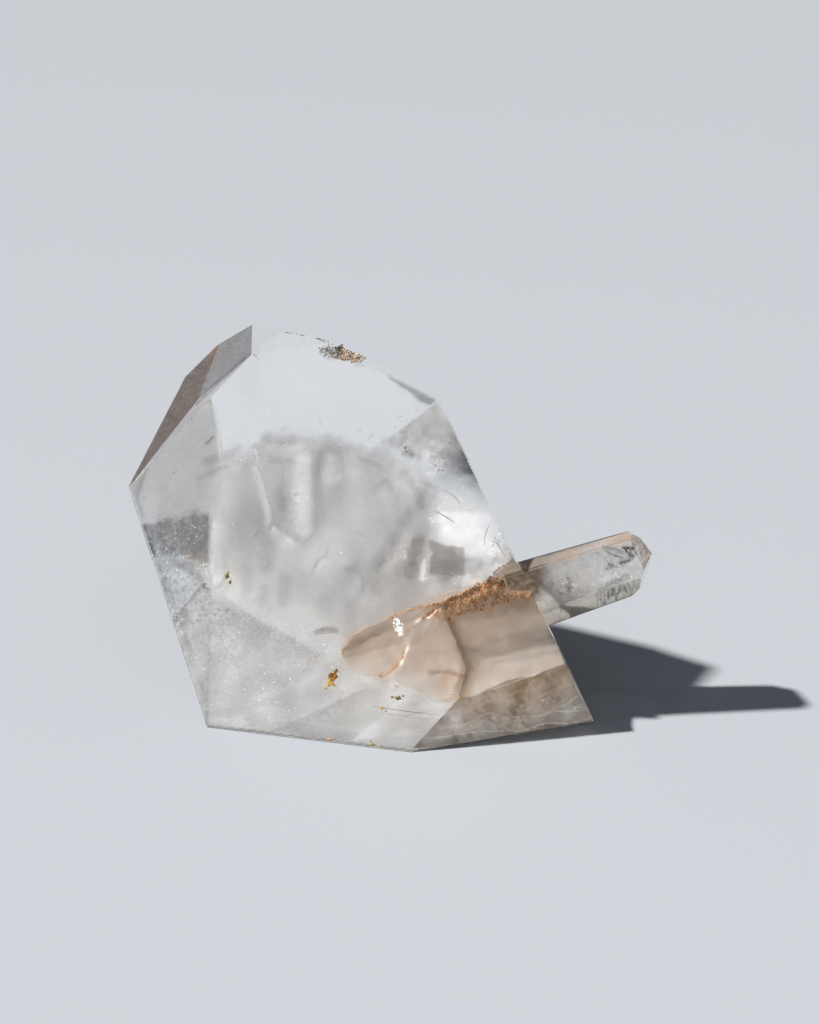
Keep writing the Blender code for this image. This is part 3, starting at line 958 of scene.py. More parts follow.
# Hazes. Thin films hang inside the front face at the left, under the cloud's top edge and at the
# right. The white dust, the dark grit, the cream spots and the low haze are bubbles and grains of the
# rock. The others stand for what the clear quartz shows of its surroundings: the pale ones are
# painted light where it shows the bright table, and the grey and brownish ones, with the shade at
# the right, painted reflection of the dim room. One plain darker patch lies over the scoop's rim.
def patch(name, window, deep_mm, colour, cover, through=0.3, cell=CELL_PX, fade=7, **finish):
    """One film inside the front face, at a plain depth or one worked as for a veil."""
    paint = milk(name + "_milk", colour, through, **finish)
    deep = deep_mm if callable(deep_mm) else (lambda u, v, room_mm: min(deep_mm, room_mm * 0.6))
    veil(name, window, deep, cover, paint, cell, fade)


def ragged(u, v, seed, wide=16.0):
    """Slow unevenness around 1."""
    slow = uneven(u, v, wide, wide, seed)
    return 1 + 0.6 * slow + 0.3 * noise.noise(Vector((u / wide * 2.7, v / wide * 2.7, seed)))


# Lines of the photo that more than one haze ends at: the ridges at the front face's right and left
# ends, the latter as u over v, and the break across the crystal's left end.
RIGHT_RIDGE = ((196, 583.92), (476, 371.12))
LEFT_RIDGE = ((340, 197.96), (524, 212.68))
LEFT_BREAK = ((126, 525.8), (226, 505.8))
LIT_PLATES = (-0.60, -0.10, 0.79)
TOP_FADE = ((340, 349.0), (482, 462.6))


def top_painted_light(u, v):
    """Painted light: pale over the cloud as far as both ridges, fading down to the right."""
    over_cloud = soft(line_at(CLOUD_TOP, u) + 16 - v, 0, 22)
    in_front = soft(line_at(RIGHT_RIDGE, u) - v, -1, 2) * soft(u - line_at(LEFT_RIDGE, v), 6, 14)
    fading = 1 - 0.8 * soft(u - line_at(TOP_FADE, v), 0, 40)
    return 0.13 * (0.4 + 0.6 * ragged(u, v, 58.0, 60)) * over_cloud * in_front * fading


CREAM_SPOTS = ((1, 228, 590, 20, 18), (1, 300, 612, 52, 16, 25), (0.8, 236, 562, 12, 20))
WEDGE_LOW = ((362, 358.0), (446, 421.0))
WEDGE_STARTS = (364, 376)


def top_dark_reflection(u, v):
    """Painted reflection of the dim room: a grey wedge between the top edge and a ragged line down to the
    right ridge.
    """
    above = soft(line_at(WEDGE_LOW, u) - v + 3 * uneven(u, v, 9, 9, 65.0), -1, 3)
    return 0.88 * above * soft(line_at(RIGHT_RIDGE, u) - v, 0, 2) * soft(u, *WEDGE_STARTS)


def left_painted_light(u, v):
    """Painted light: pale left of the left ridge and above the left break."""
    above = soft(line_at(LEFT_BREAK, u) - v + 6 * uneven(u, v, 11, 11, 51.0), -5, 6)
    beside = soft(u - line_at(LEFT_RIDGE, v) + 8 * uneven(u, v, 13, 13, 52.0), 22, -2)
    return 0.62 * ragged(u, v, 3.0, 40) * above * beside * on_front(u, v)


LEFT_REFLECTION_ENDS, LEFT_REFLECTION_RIGHT_U = (548, 574), 211


def left_dark_reflection(u, v):
    """Painted reflection of the dim room, finely streaked, under the left break."""
    streaks = 1 + 0.30 * uneven(u, v, 5, 26, 5.0)
    below = soft(v - line_at(LEFT_BREAK, u) - 2 + 6 * uneven(u, v, 11, 11, 51.0), -5, 5)
    ending = 1 - soft(v + 10 * uneven(u, v, 12, 12, 53.0), *LEFT_REFLECTION_ENDS)
    ending *= soft(LEFT_REFLECTION_RIGHT_U - u + 3 * uneven(u, v, 9, 9, 54.0), -2, 6)
    return 0.86 * streaks * below * ending


LOW_HAZE_STARTS, DUST_STARTS, DUST_FADES = (560, 600), (548, 580), (590, 660)
GRIT_STARTS, GRIT_FADES = (540, 570), (590, 690)


def under_cloud(u, v):
    """1 below the cloud."""
    return soft(line_at(CLOUD_LOW, u) + 4 - v, 6, -6)


def left_dust(u, v):
    """White dust below the cloud, in slow drifts."""
    drifts = 0.5 + uneven(u, v, 22, 22, 63.0)
    fading = 1 - 0.7 * soft(v, *DUST_FADES)
    return 0.13 * ragged(u, v, 61.0, 9) * soft(v, *DUST_STARTS) * under_cloud(u, v) * fading * drifts


def left_grit(u, v):
    """Dark grit among the dust."""
    fading = 1 - 0.8 * soft(v, *GRIT_FADES)
    return 0.15 * ragged(u, v, 62.0, 8) * soft(v, *GRIT_STARTS) * under_cloud(u, v) * fading


RIGHT_REFLECTION_LOW = ((384, 423.55), (476, 464.95))


def right_dark_reflection(u, v):
    """Brownish painted reflection of the dim room under the right ridge."""
    below = soft(v - line_at(RIGHT_RIDGE, u), 0, 3)
    ending = 1 - soft(v - line_at(RIGHT_REFLECTION_LOW, u) + 16 * uneven(u, v, 9, 9, 2), 0, 24)
    return 0.62 * ragged(u, v, 9.0, 10) * below * ending


SHADE_SPOTS = ((0.80, 474, 468, 11, 26, -24), (0.45, 456, 468, 20, 18), (0.2, 456, 440, 10, 20, -24))
PAINTED_LIGHT_SPOTS = (
    (0.95, 456, 522, 32, 24, 14), (0.72, 488, 562, 26, 22, 20), (0.55, 462, 582, 26, 9, -14),
)
PAINTED_LIGHT_MIDDLE = (465, 535)
DARK_PATCH_TOP, DARK_PATCH_SIDES, DARK_PATCH_LOW_V = ((424, 537.24), (478, 549.12)), (428, 466), 576


def painted_light_depth(u, v, room_mm):
    """The painted light at the right leans back to the left and up."""
    mu, mv = PAINTED_LIGHT_MIDDLE
    return min(room_mm * 0.7, 3.6 - (u - mu) * 0.06 - (v - mv) * 0.03)


def dark_patch_over_rim(u, v):
    """A darker patch just over the scoop's rim."""
    left, right = DARK_PATCH_SIDES
    inside = min(v - line_at(DARK_PATCH_TOP, u), right - u, u - left, DARK_PATCH_LOW_V - v)
    return 0.84 * (1 + 0.25 * uneven(u, v, 12, 12, 16.0)) * soft(inside + 3 * uneven(u, v, 9, 9, 6), 0, 4)


# Painted light where the top shows the bright table through the quartz.
patch(
    "painted_light_top",
    window=(196, 340, 446, 482),
    deep_mm=0.4,
    colour=(0.88, 0.90, 0.895),
    cover=top_painted_light,
    cell=2.0,
    plates=LIT_PLATES,
    through=0.1,
)
patch(
    "cream_low",
    window=(205, 545, 350, 652),
    deep_mm=1.2,
    colour=(1.0, 0.965, 0.90),
    cover=lambda u, v: 0.15 * ragged(u, v, 64.0, 14) * spots(CREAM_SPOTS, u, v),
    plates=LIT_PLATES,
    through=0.1,
)
# Painted reflection of the dim room along the top right edge.
patch(
    "dark_reflection_top",
    window=(362, 350, 446, 412),
    deep_mm=0.3,
    colour=(0.47, 0.47, 0.465),
    cover=top_dark_reflection,
    cell=1.5,
    fade=1,
)
# Painted light where the clear quartz shows the table.
patch(
    "painted_light_left",
    window=(126, 402, 226, 524),
    deep_mm=1.6,
    colour=(0.72, 0.735, 0.74),
    cover=left_painted_light,
)
# Painted reflection of the dim room at the left.
patch(
    "dark_reflection_left",
    window=(132, 498, 222, 600),
    deep_mm=1.2,
    colour=(0.33, 0.333, 0.34),
    cover=left_dark_reflection,
    cell=1.8,
    grain=(1500, 0.62, 1.3),
)
patch(
    "haze_low",
    window=(140, 560, 345, 735),
    deep_mm=2.5,
    colour=(0.70, 0.72, 0.75),
    cover=lambda u, v: 0.35 * ragged(u, v, 8.0, 30) * soft(v, *LOW_HAZE_STARTS),
)
patch(
    "dust_left",
    window=(140, 520, 330, 740),
    deep_mm=0.7,
    colour=(0.98, 0.98, 0.99),
    cover=left_dust,
    through=0.1,
    grain=(1500, -1.2, 2.8),
)
patch(
    "grit_left",
    window=(140, 520, 330, 740),
    deep_mm=0.5,
    colour=(0.20, 0.20, 0.205),
    cover=left_grit,
    through=0.1,
    grain=(1700, -1.4, 3.0),
)
# Painted reflection of the dim room under the right ridge.
patch(
    "dark_reflection_right",
    window=(384, 394, 476, 476),
    deep_mm=1.5,
    colour=(0.62, 0.58, 0.53),
    cover=right_dark_reflection,
    cell=1.8,
    fade=2,
)
patch(
    "shade_right",
    window=(430, 395, 520, 520),
    deep_mm=0.6,
    colour=(0.11, 0.117, 0.14),
    cover=lambda u, v: (1 + 0.4 * uneven(u, v, 14, 9, 12.0)) * spots(SHADE_SPOTS, u, v),
    cell=1.5,
)
# Painted light where the quartz shows the bright table at the right.
patch(
    "painted_light_right",
    window=(420, 486, 520, 600),
    deep_mm=painted_light_depth,
    colour=(1.0, 1.0, 1.0),
    cover=lambda u, v: ragged(u, v, 14.0, 26) * spots(PAINTED_LIGHT_SPOTS, u, v),
    through=0.1,
    cell=2.2,
)
patch(
    "dark_patch_break",
    window=(424, 528, 478, 590),
    deep_mm=1.4,
    colour=(0.43, 0.40, 0.37),
    cover=dark_patch_over_rim,
    cell=1.8,
)

# Inside of the side point. Its root shows as a tan body that ends in a rounded foot inside the
# scoop, and the clear shaft is faintly grey, with a peach film along its top and round its tip and
# a dark striated one below. Each lies just under one face and ends with it. White gleams on the tip
# and shaft are painted highlights, the top film darkens towards the root partly as painted shade,
# and the grey below is partly painted shade of the underside, with painted light where the chunk's
# shadow falls on it.
SAME_TURN, SAME_LEVEL, FOOT_GAP_MM = 0.9995, 1e-4, 0.03


def film(name, seen_at, deep_mm, paint, cover, tone=None, cell_mm=0.32):
    """A sheet just under the one face of the crystal that shows at seen_at, with that outline."""
    index = skin.ray_cast(EYE, sight(*seen_at))[2]
    turn = crystal_mesh.polygons[index].normal.copy()
    middle = crystal_mesh.polygons[index].center.copy()
    corners, sides = [], []
    for side in crystal_mesh.polygons:
        level = abs((side.center - middle).dot(turn)) < SAME_LEVEL
        if side.normal.dot(turn) > SAME_TURN and level:
            sides.append(tuple(range(len(corners), len(corners) + len(side.vertices))))
            corners += [crystal_mesh.vertices[k].co.copy() for k in side.vertices]
    mesh = bpy.data.meshes.new(name)
    mesh.from_pydata(corners, [], sides)
    sheet = bpy.data.objects.new(name, mesh)
    scene.collection.objects.link(sheet)
    bpy.ops.object.select_all(action="DESELECT")
    scene_view.objects.active = sheet
    sheet.select_set(True)
    bpy.ops.object.mode_set(mode="EDIT")
    bpy.ops.mesh.select_all(action="SELECT")
    bpy.ops.mesh.remove_doubles(threshold=1e-6)
    across = turn.cross(Vector((0, 0, 1))).normalized()
    for way in (across, turn.cross(across)):
        spans = [(corner - middle).dot(way) for corner in corners]
        cuts = int((max(spans) - min(spans)) / (cell_mm * MM))
        for k in range(1, cuts):
            place = middle + way * (min(spans) + (max(spans) - min(spans)) * k / cuts)
            bpy.ops.mesh.select_all(action="SELECT")
            bpy.ops.mesh.bisect(plane_co=place, plane_no=way)
    bpy.ops.object.mode_set(mode="OBJECT")
    thickness, tones = [], []
    for vert in mesh.vertices:
        u, v = shown_at(vert.co)
        thickness.append(min(1.0, max(0.0, cover(u, v))))
        tones.append(min(1.0, max(0.0, tone(u, v))) if tone else 0.0)
        vert.co -= turn * deep_mm * MM
        vert.co.z = max(vert.co.z, FOOT_GAP_MM * MM)
    write_marks(mesh, cover=thickness, tone=tones)
    set_in_quartz(sheet, paint)


TEETH = (1.1, 616, 594, 20, 8, -22)
ROOT_END, ROOT_MIDDLE_V = 545, 576


def comb(u, v):
    """Dark teeth of growth lines across the lower side of the shaft, strongest near the tip."""
    teeth = soft(noise.noise(Vector((u / 1.9, v / 7 + u / 14, 71.0))), -0.25, 0.2)
    return teeth * spots((TEETH,), u, v) * (1 + 0.8 * uneven(u, v, 4, 3, 72.0))


def point_root(u, v):
    """1 in the tan body at the root of the side point, with a rounded ragged end."""
    end = ROOT_END - 0.02 * (v - ROOT_MIDDLE_V) ** 2 + 7 * uneven(u, v, 9, 9, 2.0)
    return 1 - soft(u, end - 8, end + 10)


POINT_FRONT_SEEN, POINT_TOP_SEEN, POINT_LOW_SEEN = (580, 575), (568, 552), (591, 604)
POINT_TIP_SEEN = (640, 545)
FRONT_SPOTS = ((0.35, 575, 597, 30, 6, -16), (0.3, 606, 562, 26, 8, -16))
film(
    "point_front",
    seen_at=POINT_FRONT_SEEN,
    deep_mm=0.45,
    paint=milk("point_front_milk", (0.92, 0.92, 0.91), 0.5, (0.44, 0.345, 0.25), (1400, 0.6, 1.35)),
    cover=lambda u, v: 0.38 * ragged(u, v, 21.0, 13) + 0.45 * point_root(u, v) + spots(FRONT_SPOTS, u, v),
    tone=point_root,
)
POINT_DARK = (
    (((623, 548), (632, 548)), 1.4, 0.8),
    (((626, 550), (630, 555)), 1.2, 0.8),
    (((631, 549), (630, 554)), 1.2, 0.6),
    (((606, 551), (614, 555), (623, 558)), 0.8, 0.6),
    (((609, 564), (616, 567)), 1.6, 0.5),
    (((606, 569), (613, 567)), 1.4, 0.4),
    (((600, 590), (612, 583), (626, 576)), 3.0, 0.30),
    (((566, 584), (569, 592)), 1.6, 0.35),
    (((556, 590), (562, 594)), 1.4, 0.25),
)
# Painted highlights on the tip and along the shaft.
POINT_GLEAMS = (
    (((622, 563), (628, 561), (633, 556)), 2.2, 0.95),
    (((634, 549), (638, 554), (641, 558)), 1.6, 0.95),
    (((604, 547), (615, 549), (623, 553)), 1.6, 0.5),
    (((568, 578), (571, 590)), 1.2, 0.5),
)
POINT_TOP_SHADE_FADE, POINT_TOP_SPOT = (508, 606), (0.25, 585, 548, 22, 10)
POINT_LOW_PAINTED_LIGHT = (0.3, 578, 608, 20, 7, -16)


def marks_dark(u, v):
    """How strongly the dark marks of the side point cover a photo point."""
    return drawn(POINT_DARK, u, v, 81.0)[0]


def marks_gleaming(u, v):
    """The same for its gleams."""
    return drawn(POINT_GLEAMS, u, v, 82.0)[0]


film(
    "point_marks",
    seen_at=POINT_FRONT_SEEN,
    deep_mm=0.2,
    paint=milk(
        "point_marks_milk", (0.10, 0.10, 0.105), 0.3, (1.0, 1.0, 1.0), (2600, 0.3, 1.7), LIT_PLATES
    ),
    cover=lambda u, v: marks_dark(u, v) + marks_gleaming(u, v),
    tone=lambda u, v: 2 * (marks_gleaming(u, v) - marks_dark(u, v)),
    cell_mm=0.2,
)
film(
    "point_tip",
    seen_at=POINT_TIP_SEEN,
    deep_mm=0.2,
    paint=milk("point_tip_milk", (0.60, 0.47, 0.38), 0.3, (1.0, 1.0, 1.0), (1800, 0.5, 1.5)),
    cover=lambda u, v: 0.62 * ragged(u, v, 83.0, 8),
    tone=marks_gleaming,
    cell_mm=0.25,
)
# Darker towards the root: the root's tan, and painted shade that runs into the chunk's cast shadow.
film(
    "point_top",
    seen_at=POINT_TOP_SEEN,
    deep_mm=0.35,
    paint=milk("point_top_milk", (0.31, 0.265, 0.21), 0.3, (0.62, 0.50, 0.42)),
    cover=lambda u, v: 0.86 * ragged(u, v, 22.0, 18),
    tone=lambda u, v: 0.25 + soft(u, *POINT_TOP_SHADE_FADE) - spots((POINT_TOP_SPOT,), u, v),
)
# Its grey is partly painted shade of the underside, and painted light lifts it where the chunk's shadow
# falls.
film(
    "point_low",
    seen_at=POINT_LOW_SEEN,
    deep_mm=0.35,
    paint=milk("point_low_milk", (0.52, 0.51, 0.47), 0.6, (0.10, 0.10, 0.095), (1900, 0.6, 1.3)),
    cover=lambda u, v: 0.92 * ragged(u, v, 24.0, 12),
    tone=lambda u, v: 0.12 + comb(u, v) - spots((POINT_LOW_PAINTED_LIGHT,), u, v),
    cell_mm=0.2,
)

# Lower right facet. Under it the rock is a warm brownish grey, partly iron stain and partly painted
# shade of a facet that turns from the light, with an ochre band along the foot of the scoop and a
# greenish-brown patch.
LOWER_RIGHT_SEEN = (511, 710)
OCHRE_SPOTS = ((0.75, 520, 704, 12, 22, 10), (1.1, 534, 680, 32, 5, -17))
# Iron stain and painted shade of the facet.
film(
    "stain_and_shade_low_right",
    seen_at=LOWER_RIGHT_SEEN,
    deep_mm=0.5,
    paint=milk("stain_and_shade_milk", (0.62, 0.525, 0.43), 0.5, (0.50, 0.36, 0.17), (1500, 0.8, 1.15)),
    cover=lambda u, v: 0.72 * ragged(u, v, 27.0, 16),
    tone=lambda u, v: spots(OCHRE_SPOTS, u, v),
    cell_mm=0.4,
)

# Bevel. The facets at the upper left mirror the dark room, and a film under them paints that
# reflection: brown and nearly black on the left, plain grey on the right and pale lilac in the
# narrow strip that breaks the edge.
BEVEL_LOW_SEEN, BEVEL_HIGH_SEEN, BEVEL_STRIP_SEEN = (179, 405), (228, 357), (216, 388)
BEVEL_CREASE = ((248, 356), (224, 378), (196, 404))
REFLECTION_BROWN_FROM, REFLECTION_BROWN_SLANT = (190, 222), (350, 0.5)


def bevel_brown(u, v):
    """Painted reflection, from nearly black on the left to brown at the crease."""
    across = u + (REFLECTION_BROWN_SLANT[0] - v) * REFLECTION_BROWN_SLANT[1]
    return soft(across, *REFLECTION_BROWN_FROM) + 0.25 * uneven(u, v, 20, 20, 1.0)


# Painted reflection of the dark room in the bevel.
film(
    "bevel_reflection_low",
    seen_at=BEVEL_LOW_SEEN,
    deep_mm=0.2,
    paint=milk("bevel_brown", (0.17, 0.140, 0.125), 0.3, (0.26, 0.17, 0.125)),
    cover=lambda u, v: 0.92,
    tone=bevel_brown,
)
film(
    "bevel_reflection_high",
    seen_at=BEVEL_HIGH_SEEN,
    deep_mm=0.2,
    paint=milk("bevel_reflection_grey", (0.26, 0.26, 0.265), 0.3, (0.15, 0.15, 0.155)),
    cover=lambda u, v: 0.86,
    tone=lambda u, v: 1 - soft(nearest_on(BEVEL_CREASE, u, v)[0], 0.5, 5),
)
film(
    "bevel_reflection_strip",
    seen_at=BEVEL_STRIP_SEEN,
    deep_mm=0.15,
    paint=milk("bevel_reflection_lilac", (0.62, 0.60, 0.64), 0.3, (0.30, 0.30, 0.31)),
    cover=lambda u, v: 0.7,
    tone=lambda u, v: 1 - soft(nearest_on(BEVEL_CREASE, u, v)[0], 0.3, 2.0),
    cell_mm=0.2,
)

# Iron crust. Rust-brown iron oxide has grown in grains and lumps on the upper edge of the scoop,
# thickest beside the side point, and in thin seams along the broken rims.
def lump(rough, seed, subdivisions):
    """The corners and faces of one irregular grain, a unit from its middle."""
    bpy.ops.object.select_all(action="DESELECT")
    bpy.ops.mesh.primitive_ico_sphere_add(subdivisions=subdivisions, radius=1)
    grain = bpy.context.object
    corners = [
        vert.co * (1 + rough * noise.noise(vert.co * 1.7 + Vector((seed, 0, 0))))
        for vert in grain.data.vertices
    ]
    sides = [tuple(face.vertices) for face in grain.data.polygons]
    bpy.data.objects.remove(grain)
    return corners, sides


def strewn(name, places, paint, rough, seed, subdivisions=1, shadow=False):
    """One piece of many copies of a grain: place, size, turn and shade of each."""
    corners, faces, shades = [], [], []
    shape_at, sides = lump(rough, seed, subdivisions)
    for place, size, turn, shade in places:
        first = len(corners)
        for co in shape_at:
            corner = place + turn @ Vector(size[k] * co[k] for k in range(3))
            corner.z = min(max(corner.z, cad_box[0][2]), cad_box[1][2])
            corners.append(corner)
        faces += [tuple(first + k for k in side) for side in sides]
        shades += [shade] * len(shape_at)
    mesh = bpy.data.meshes.new(name)
    mesh.from_pydata(corners, [], faces)
    write_marks(mesh, shade=shades)
    piece = bpy.data.objects.new(name, mesh)
    scene.collection.objects.link(piece)
    set_in_quartz(piece, paint, shadow)


MOTTLE, MOTTLE_SHARE, MIDDLE_SHADE = (5200, 0.35, 0.65, 1.0), 0.3, 0.55


def grain_paint(name, dark, middle, light, roughness=0.7):
    """A dull grain finish between three colours, by each grain's own shade and a fine mottling."""
    paint = bpy.data.materials.new(name)
    paint.use_nodes = True
    tree = paint.node_tree
    body = tree.nodes["Principled BSDF"]
    body.inputs["Roughness"].default_value = roughness
    shade = tree.nodes.new("ShaderNodeAttribute")
    shade.attribute_name = "shade"
    mottle = noise_mask(tree, *MOTTLE)
    add = tree.nodes.new("ShaderNodeMath")
    add.operation = "MULTIPLY_ADD"
    add.use_clamp = True
    tree.links.new(mottle, add.inputs[0])
    add.inputs[1].default_value = MOTTLE_SHARE
    tree.links.new(shade.outputs["Fac"], add.inputs[2])
    ramp = tree.nodes.new("ShaderNodeValToRGB")
    ramp.color_ramp.elements[0].color = (*dark, 1)
    ramp.color_ramp.elements[1].color = (*light, 1)
    ramp.color_ramp.elements.new(MIDDLE_SHADE).color = (*middle, 1)
    tree.links.new(add.outputs["Value"], ramp.inputs["Fac"])
    tree.links.new(ramp.outputs["Color"], body.inputs["Base Color"])
    return paint


def along_path(path, share):
    """The photo point at a share of a path's length."""
    lengths = [math.dist(a, b) for a, b in zip(path, path[1:])]
    left = share * sum(lengths)
    for (a, b), long in zip(zip(path, path[1:]), lengths):
        if left <= long:
            return tuple(a[k] + (b[k] - a[k]) * left / long for k in (0, 1))
        left -= long
    return path[-1]


def near_path(path, spread):
    """A random photo point beside a path."""
    u, v = along_path(path, random.random())
    return u + random.gauss(0, spread), v + random.gauss(0, spread)


def any_turn():
    """A random turn for one grain."""
    spin = Vector((random.uniform(-1, 1), random.uniform(-1, 1), random.uniform(-1, 1)))
    return Matrix.Rotation(random.uniform(0, math.tau), 3, spin.normalized())


def any_shade(middle, spread):
    """A random shade of a grain round a middle one, from 0, dark, to 1, light."""
    return min(1.0, max(0.0, random.gauss(middle, spread)))


# Each run: its path in the photo, half its width there, the number of grains, their least and most
# size in millimetres and their middle shade.
CRUST_RUNS = (
    (((430, 602), (455, 593), (480, 583), (493, 577), (503, 581)), 0.7, 260, 0.04, 0.09, 0.05),
    (((449, 599), (457, 596)), 2.2, 90, 0.05, 0.10, 0.02),
    (((486, 579), (493, 582)), 1.6, 40, 0.04, 0.09, 0.05),
    (((459, 600), (466, 602)), 2.6, 70, 0.05, 0.10, 1.6),
    (((478, 588), (486, 596)), 2.4, 40, 0.04, 0.08, 1.5),
    (((496, 589), (505, 597), (512, 604)), 0.6, 60, 0.04, 0.07, 0.10),
    (((500, 594), (520, 592), (541, 591)), 1.0, 90, 0.03, 0.07, 0.20),
    (((438, 604), (445, 612), (449, 622)), 2.4, 90, 0.04, 0.09, 1.2),
    (((424, 619), (431, 614), (438, 610)), 2.2, 150, 0.05, 0.12, 0.75),
    (((399, 663), (402, 656), (404, 650)), 1.5, 60, 0.04, 0.09, 0.8),
    (((428, 604), (455, 595), (482, 586), (503, 582)), 5, 760, 0.05, 0.17, 0.6),
    (((440, 607), (470, 600), (500, 592)), 7, 900, 0.05, 0.16, 0.6),
    (((449, 606), (447, 616), (452, 624)), 4, 160, 0.05, 0.12, 0.6),
    (((455, 614), (480, 608), (510, 598), (541, 591)), 3, 420, 0.04, 0.11, 0.5),
    (((388, 617), (405, 610), (430, 605)), 2.6, 260, 0.04, 0.11, 0.7),
    (((341, 664), (342, 652), (350, 640), (368, 628), (390, 616)), 1.1, 300, 0.03, 0.07, 0.75),
    (((376, 677), (388, 673), (398, 664), (402, 656)), 1.5, 160, 0.025, 0.06, 0.6),
    (((447, 620), (455, 640), (464, 664)), 0.8, 110, 0.02, 0.04, 0.6),
)
random.seed(11)
CRUST_LONG, CRUST_HIGH, CRUST_SINK = (0.7, 1.7), (0.4, 0.9), 0.4
crust_places = []
for path, half, count, least, most, middle in CRUST_RUNS:
    for _ in range(count):
        u, v = near_path(path, half * 0.55)
        place, turn, index, _ = skin.ray_cast(EYE, sight(u, v))
        if place is None or kinds[index] != BROKEN:
            continue
        size = random.uniform(least, most) * MM
        size = Vector((size * random.uniform(*CRUST_LONG), size, size * random.uniform(*CRUST_HIGH)))
        shade = any_shade(middle + 0.5 * uneven(u, v, 6, 6, 3.0), 0.22)
        crust_places.append((place - turn * size.z * CRUST_SINK, size, any_turn(), shade))
rust_paint = grain_paint("rust_grain", (0.22, 0.05, 0.02), (0.86, 0.36, 0.09), (1.0, 0.80, 0.52))
strewn("iron_crust", crust_places, rust_paint, rough=0.5, seed=1.0, shadow=True)

# Needles and hairs. A few thin needles of another mineral, short hair cracks, a flat lens-shaped
# bubble and one star of cracks, painted white as a glint, are sealed in the front of the crystal.
# Each hair: its path in the photo, its depth and half its thickness in millimetres, and its kind.
HAIRS = (
    (((372, 706), (392, 709), (416, 713), (441, 715)), 0.7, 0.055, "needle"),
    (((384, 713), (404, 716), (428, 720)), 0.7, 0.04, "needle"),
    (((358, 531), (361, 535), (367, 538)), 0.5, 0.05, "hair"),
    (((434, 511), (442, 514), (448, 518), (455, 523)), 0.6, 0.09, "hair"),
    (((440, 490), (450, 491), (458, 498), (463, 509)), 0.6, 0.05, "hair"),
    (((409, 511), (410, 516)), 0.5, 0.07, "hair"),
    (((484, 545), (485, 531), (490, 524)), 0.6, 0.06, "hair"),
    (((494, 536), (499, 546), (505, 557)), 0.3, 0.08, "hair"),
    (((488, 566), (494, 562), (497, 552)), 0.4, 0.05, "hair"),
    (((206, 444), (210, 440), (214, 437)), 0.5, 0.08, "hair"),
    (((248, 356), (236, 367), (224, 378)), 0.1, 0.03, "hair"),
    (((314, 632), (319, 629), (330, 628), (337, 629)), 0.6, 0.05, "hair"),
    (((314, 633), (322, 634), (332, 633), (337, 630)), 0.6, 0.05, "hair"),
    (((318, 631), (326, 631), (334, 630)), 0.7, 0.035, "hair"),
    (((455, 700), (460, 697), (467, 694)), 0.3, 0.05, "rusty"),
    (((330, 655), (337, 657), (343, 659)), 0.4, 0.04, "rusty"),
    (((394, 691), (398, 687), (401, 683)), 0.3, 0.05, "rusty"),
    (((368, 676), (378, 675), (388, 671), (398, 662)), 0.2, 0.05, "rusty"),
    # The star of cracks is painted white as a glint.
    (((256, 459), (260, 465), (263, 471)), 0.4, 0.045, "star"),
    (((255, 466), (260, 465), (266, 462)), 0.4, 0.04, "star"),
    (((259, 458), (260, 465), (258, 472)), 0.4, 0.035, "star"),
)
HAIR_PAINTS = {
    "needle": grain_paint("needle_green", (0.16, 0.15, 0.08), (0.30, 0.28, 0.17), (0.46, 0.43, 0.30)),
    "hair": grain_paint("hair_crack", (0.13, 0.13, 0.13), (0.24, 0.235, 0.23), (0.40, 0.39, 0.38)),
    "rusty": grain_paint("rusty_seam", (0.42, 0.14, 0.05), (0.80, 0.42, 0.16), (0.95, 0.70, 0.42)),
    "star": grain_paint("star_crack", (0.95, 0.96, 1.0), (1.0, 1.0, 1.0), (1.0, 1.0, 1.0), 0.2),
}


def behind_skin(u, v):
    """Where any face shows, the way inside from there and the face's normal, or None beside all."""
    ray = sight(u, v)
    start, turn, _, _ = skin.ray_cast(EYE, ray)
    if start is None:
        return None, ray, ray
    return start, bent(ray, turn), turn


for k, (path, deep, thick_mm, kind) in enumerate(HAIRS):
    line_data = bpy.data.curves.new(f"{kind}_{k + 1}", "CURVE")
    line_data.dimensions = "3D"
    line_data.bevel_depth = thick_mm * MM
    line_data.bevel_resolution = 1
    run = line_data.splines.new("NURBS")
    run.points.add(len(path) - 1)
    for m, (u, v) in enumerate(path):
        start, ray, _ = behind_skin(u, v)
        run.points[m].co = (*(start + ray * deep * MM), 1)
        run.points[m].radius = 0.35 if m in (0, len(path) - 1) else 1.0
    run.use_endpoint_u = True
    run.order_u = min(4, len(path))
    line = bpy.data.objects.new(line_data.name, line_data)
    scene.collection.objects.link(line)
    bpy.ops.object.select_all(action="DESELECT")
    line.select_set(True)
    scene_view.objects.active = line
    bpy.ops.object.convert(target="MESH")
    line = bpy.context.object
    shades = [0.5 + 0.5 * noise.noise(vert.co / MM * 2) for vert in line.data.vertices]
    write_marks(line.data, shade=shades)
    line.data.materials.clear()
    set_in_quartz(line, HAIR_PAINTS[kind])

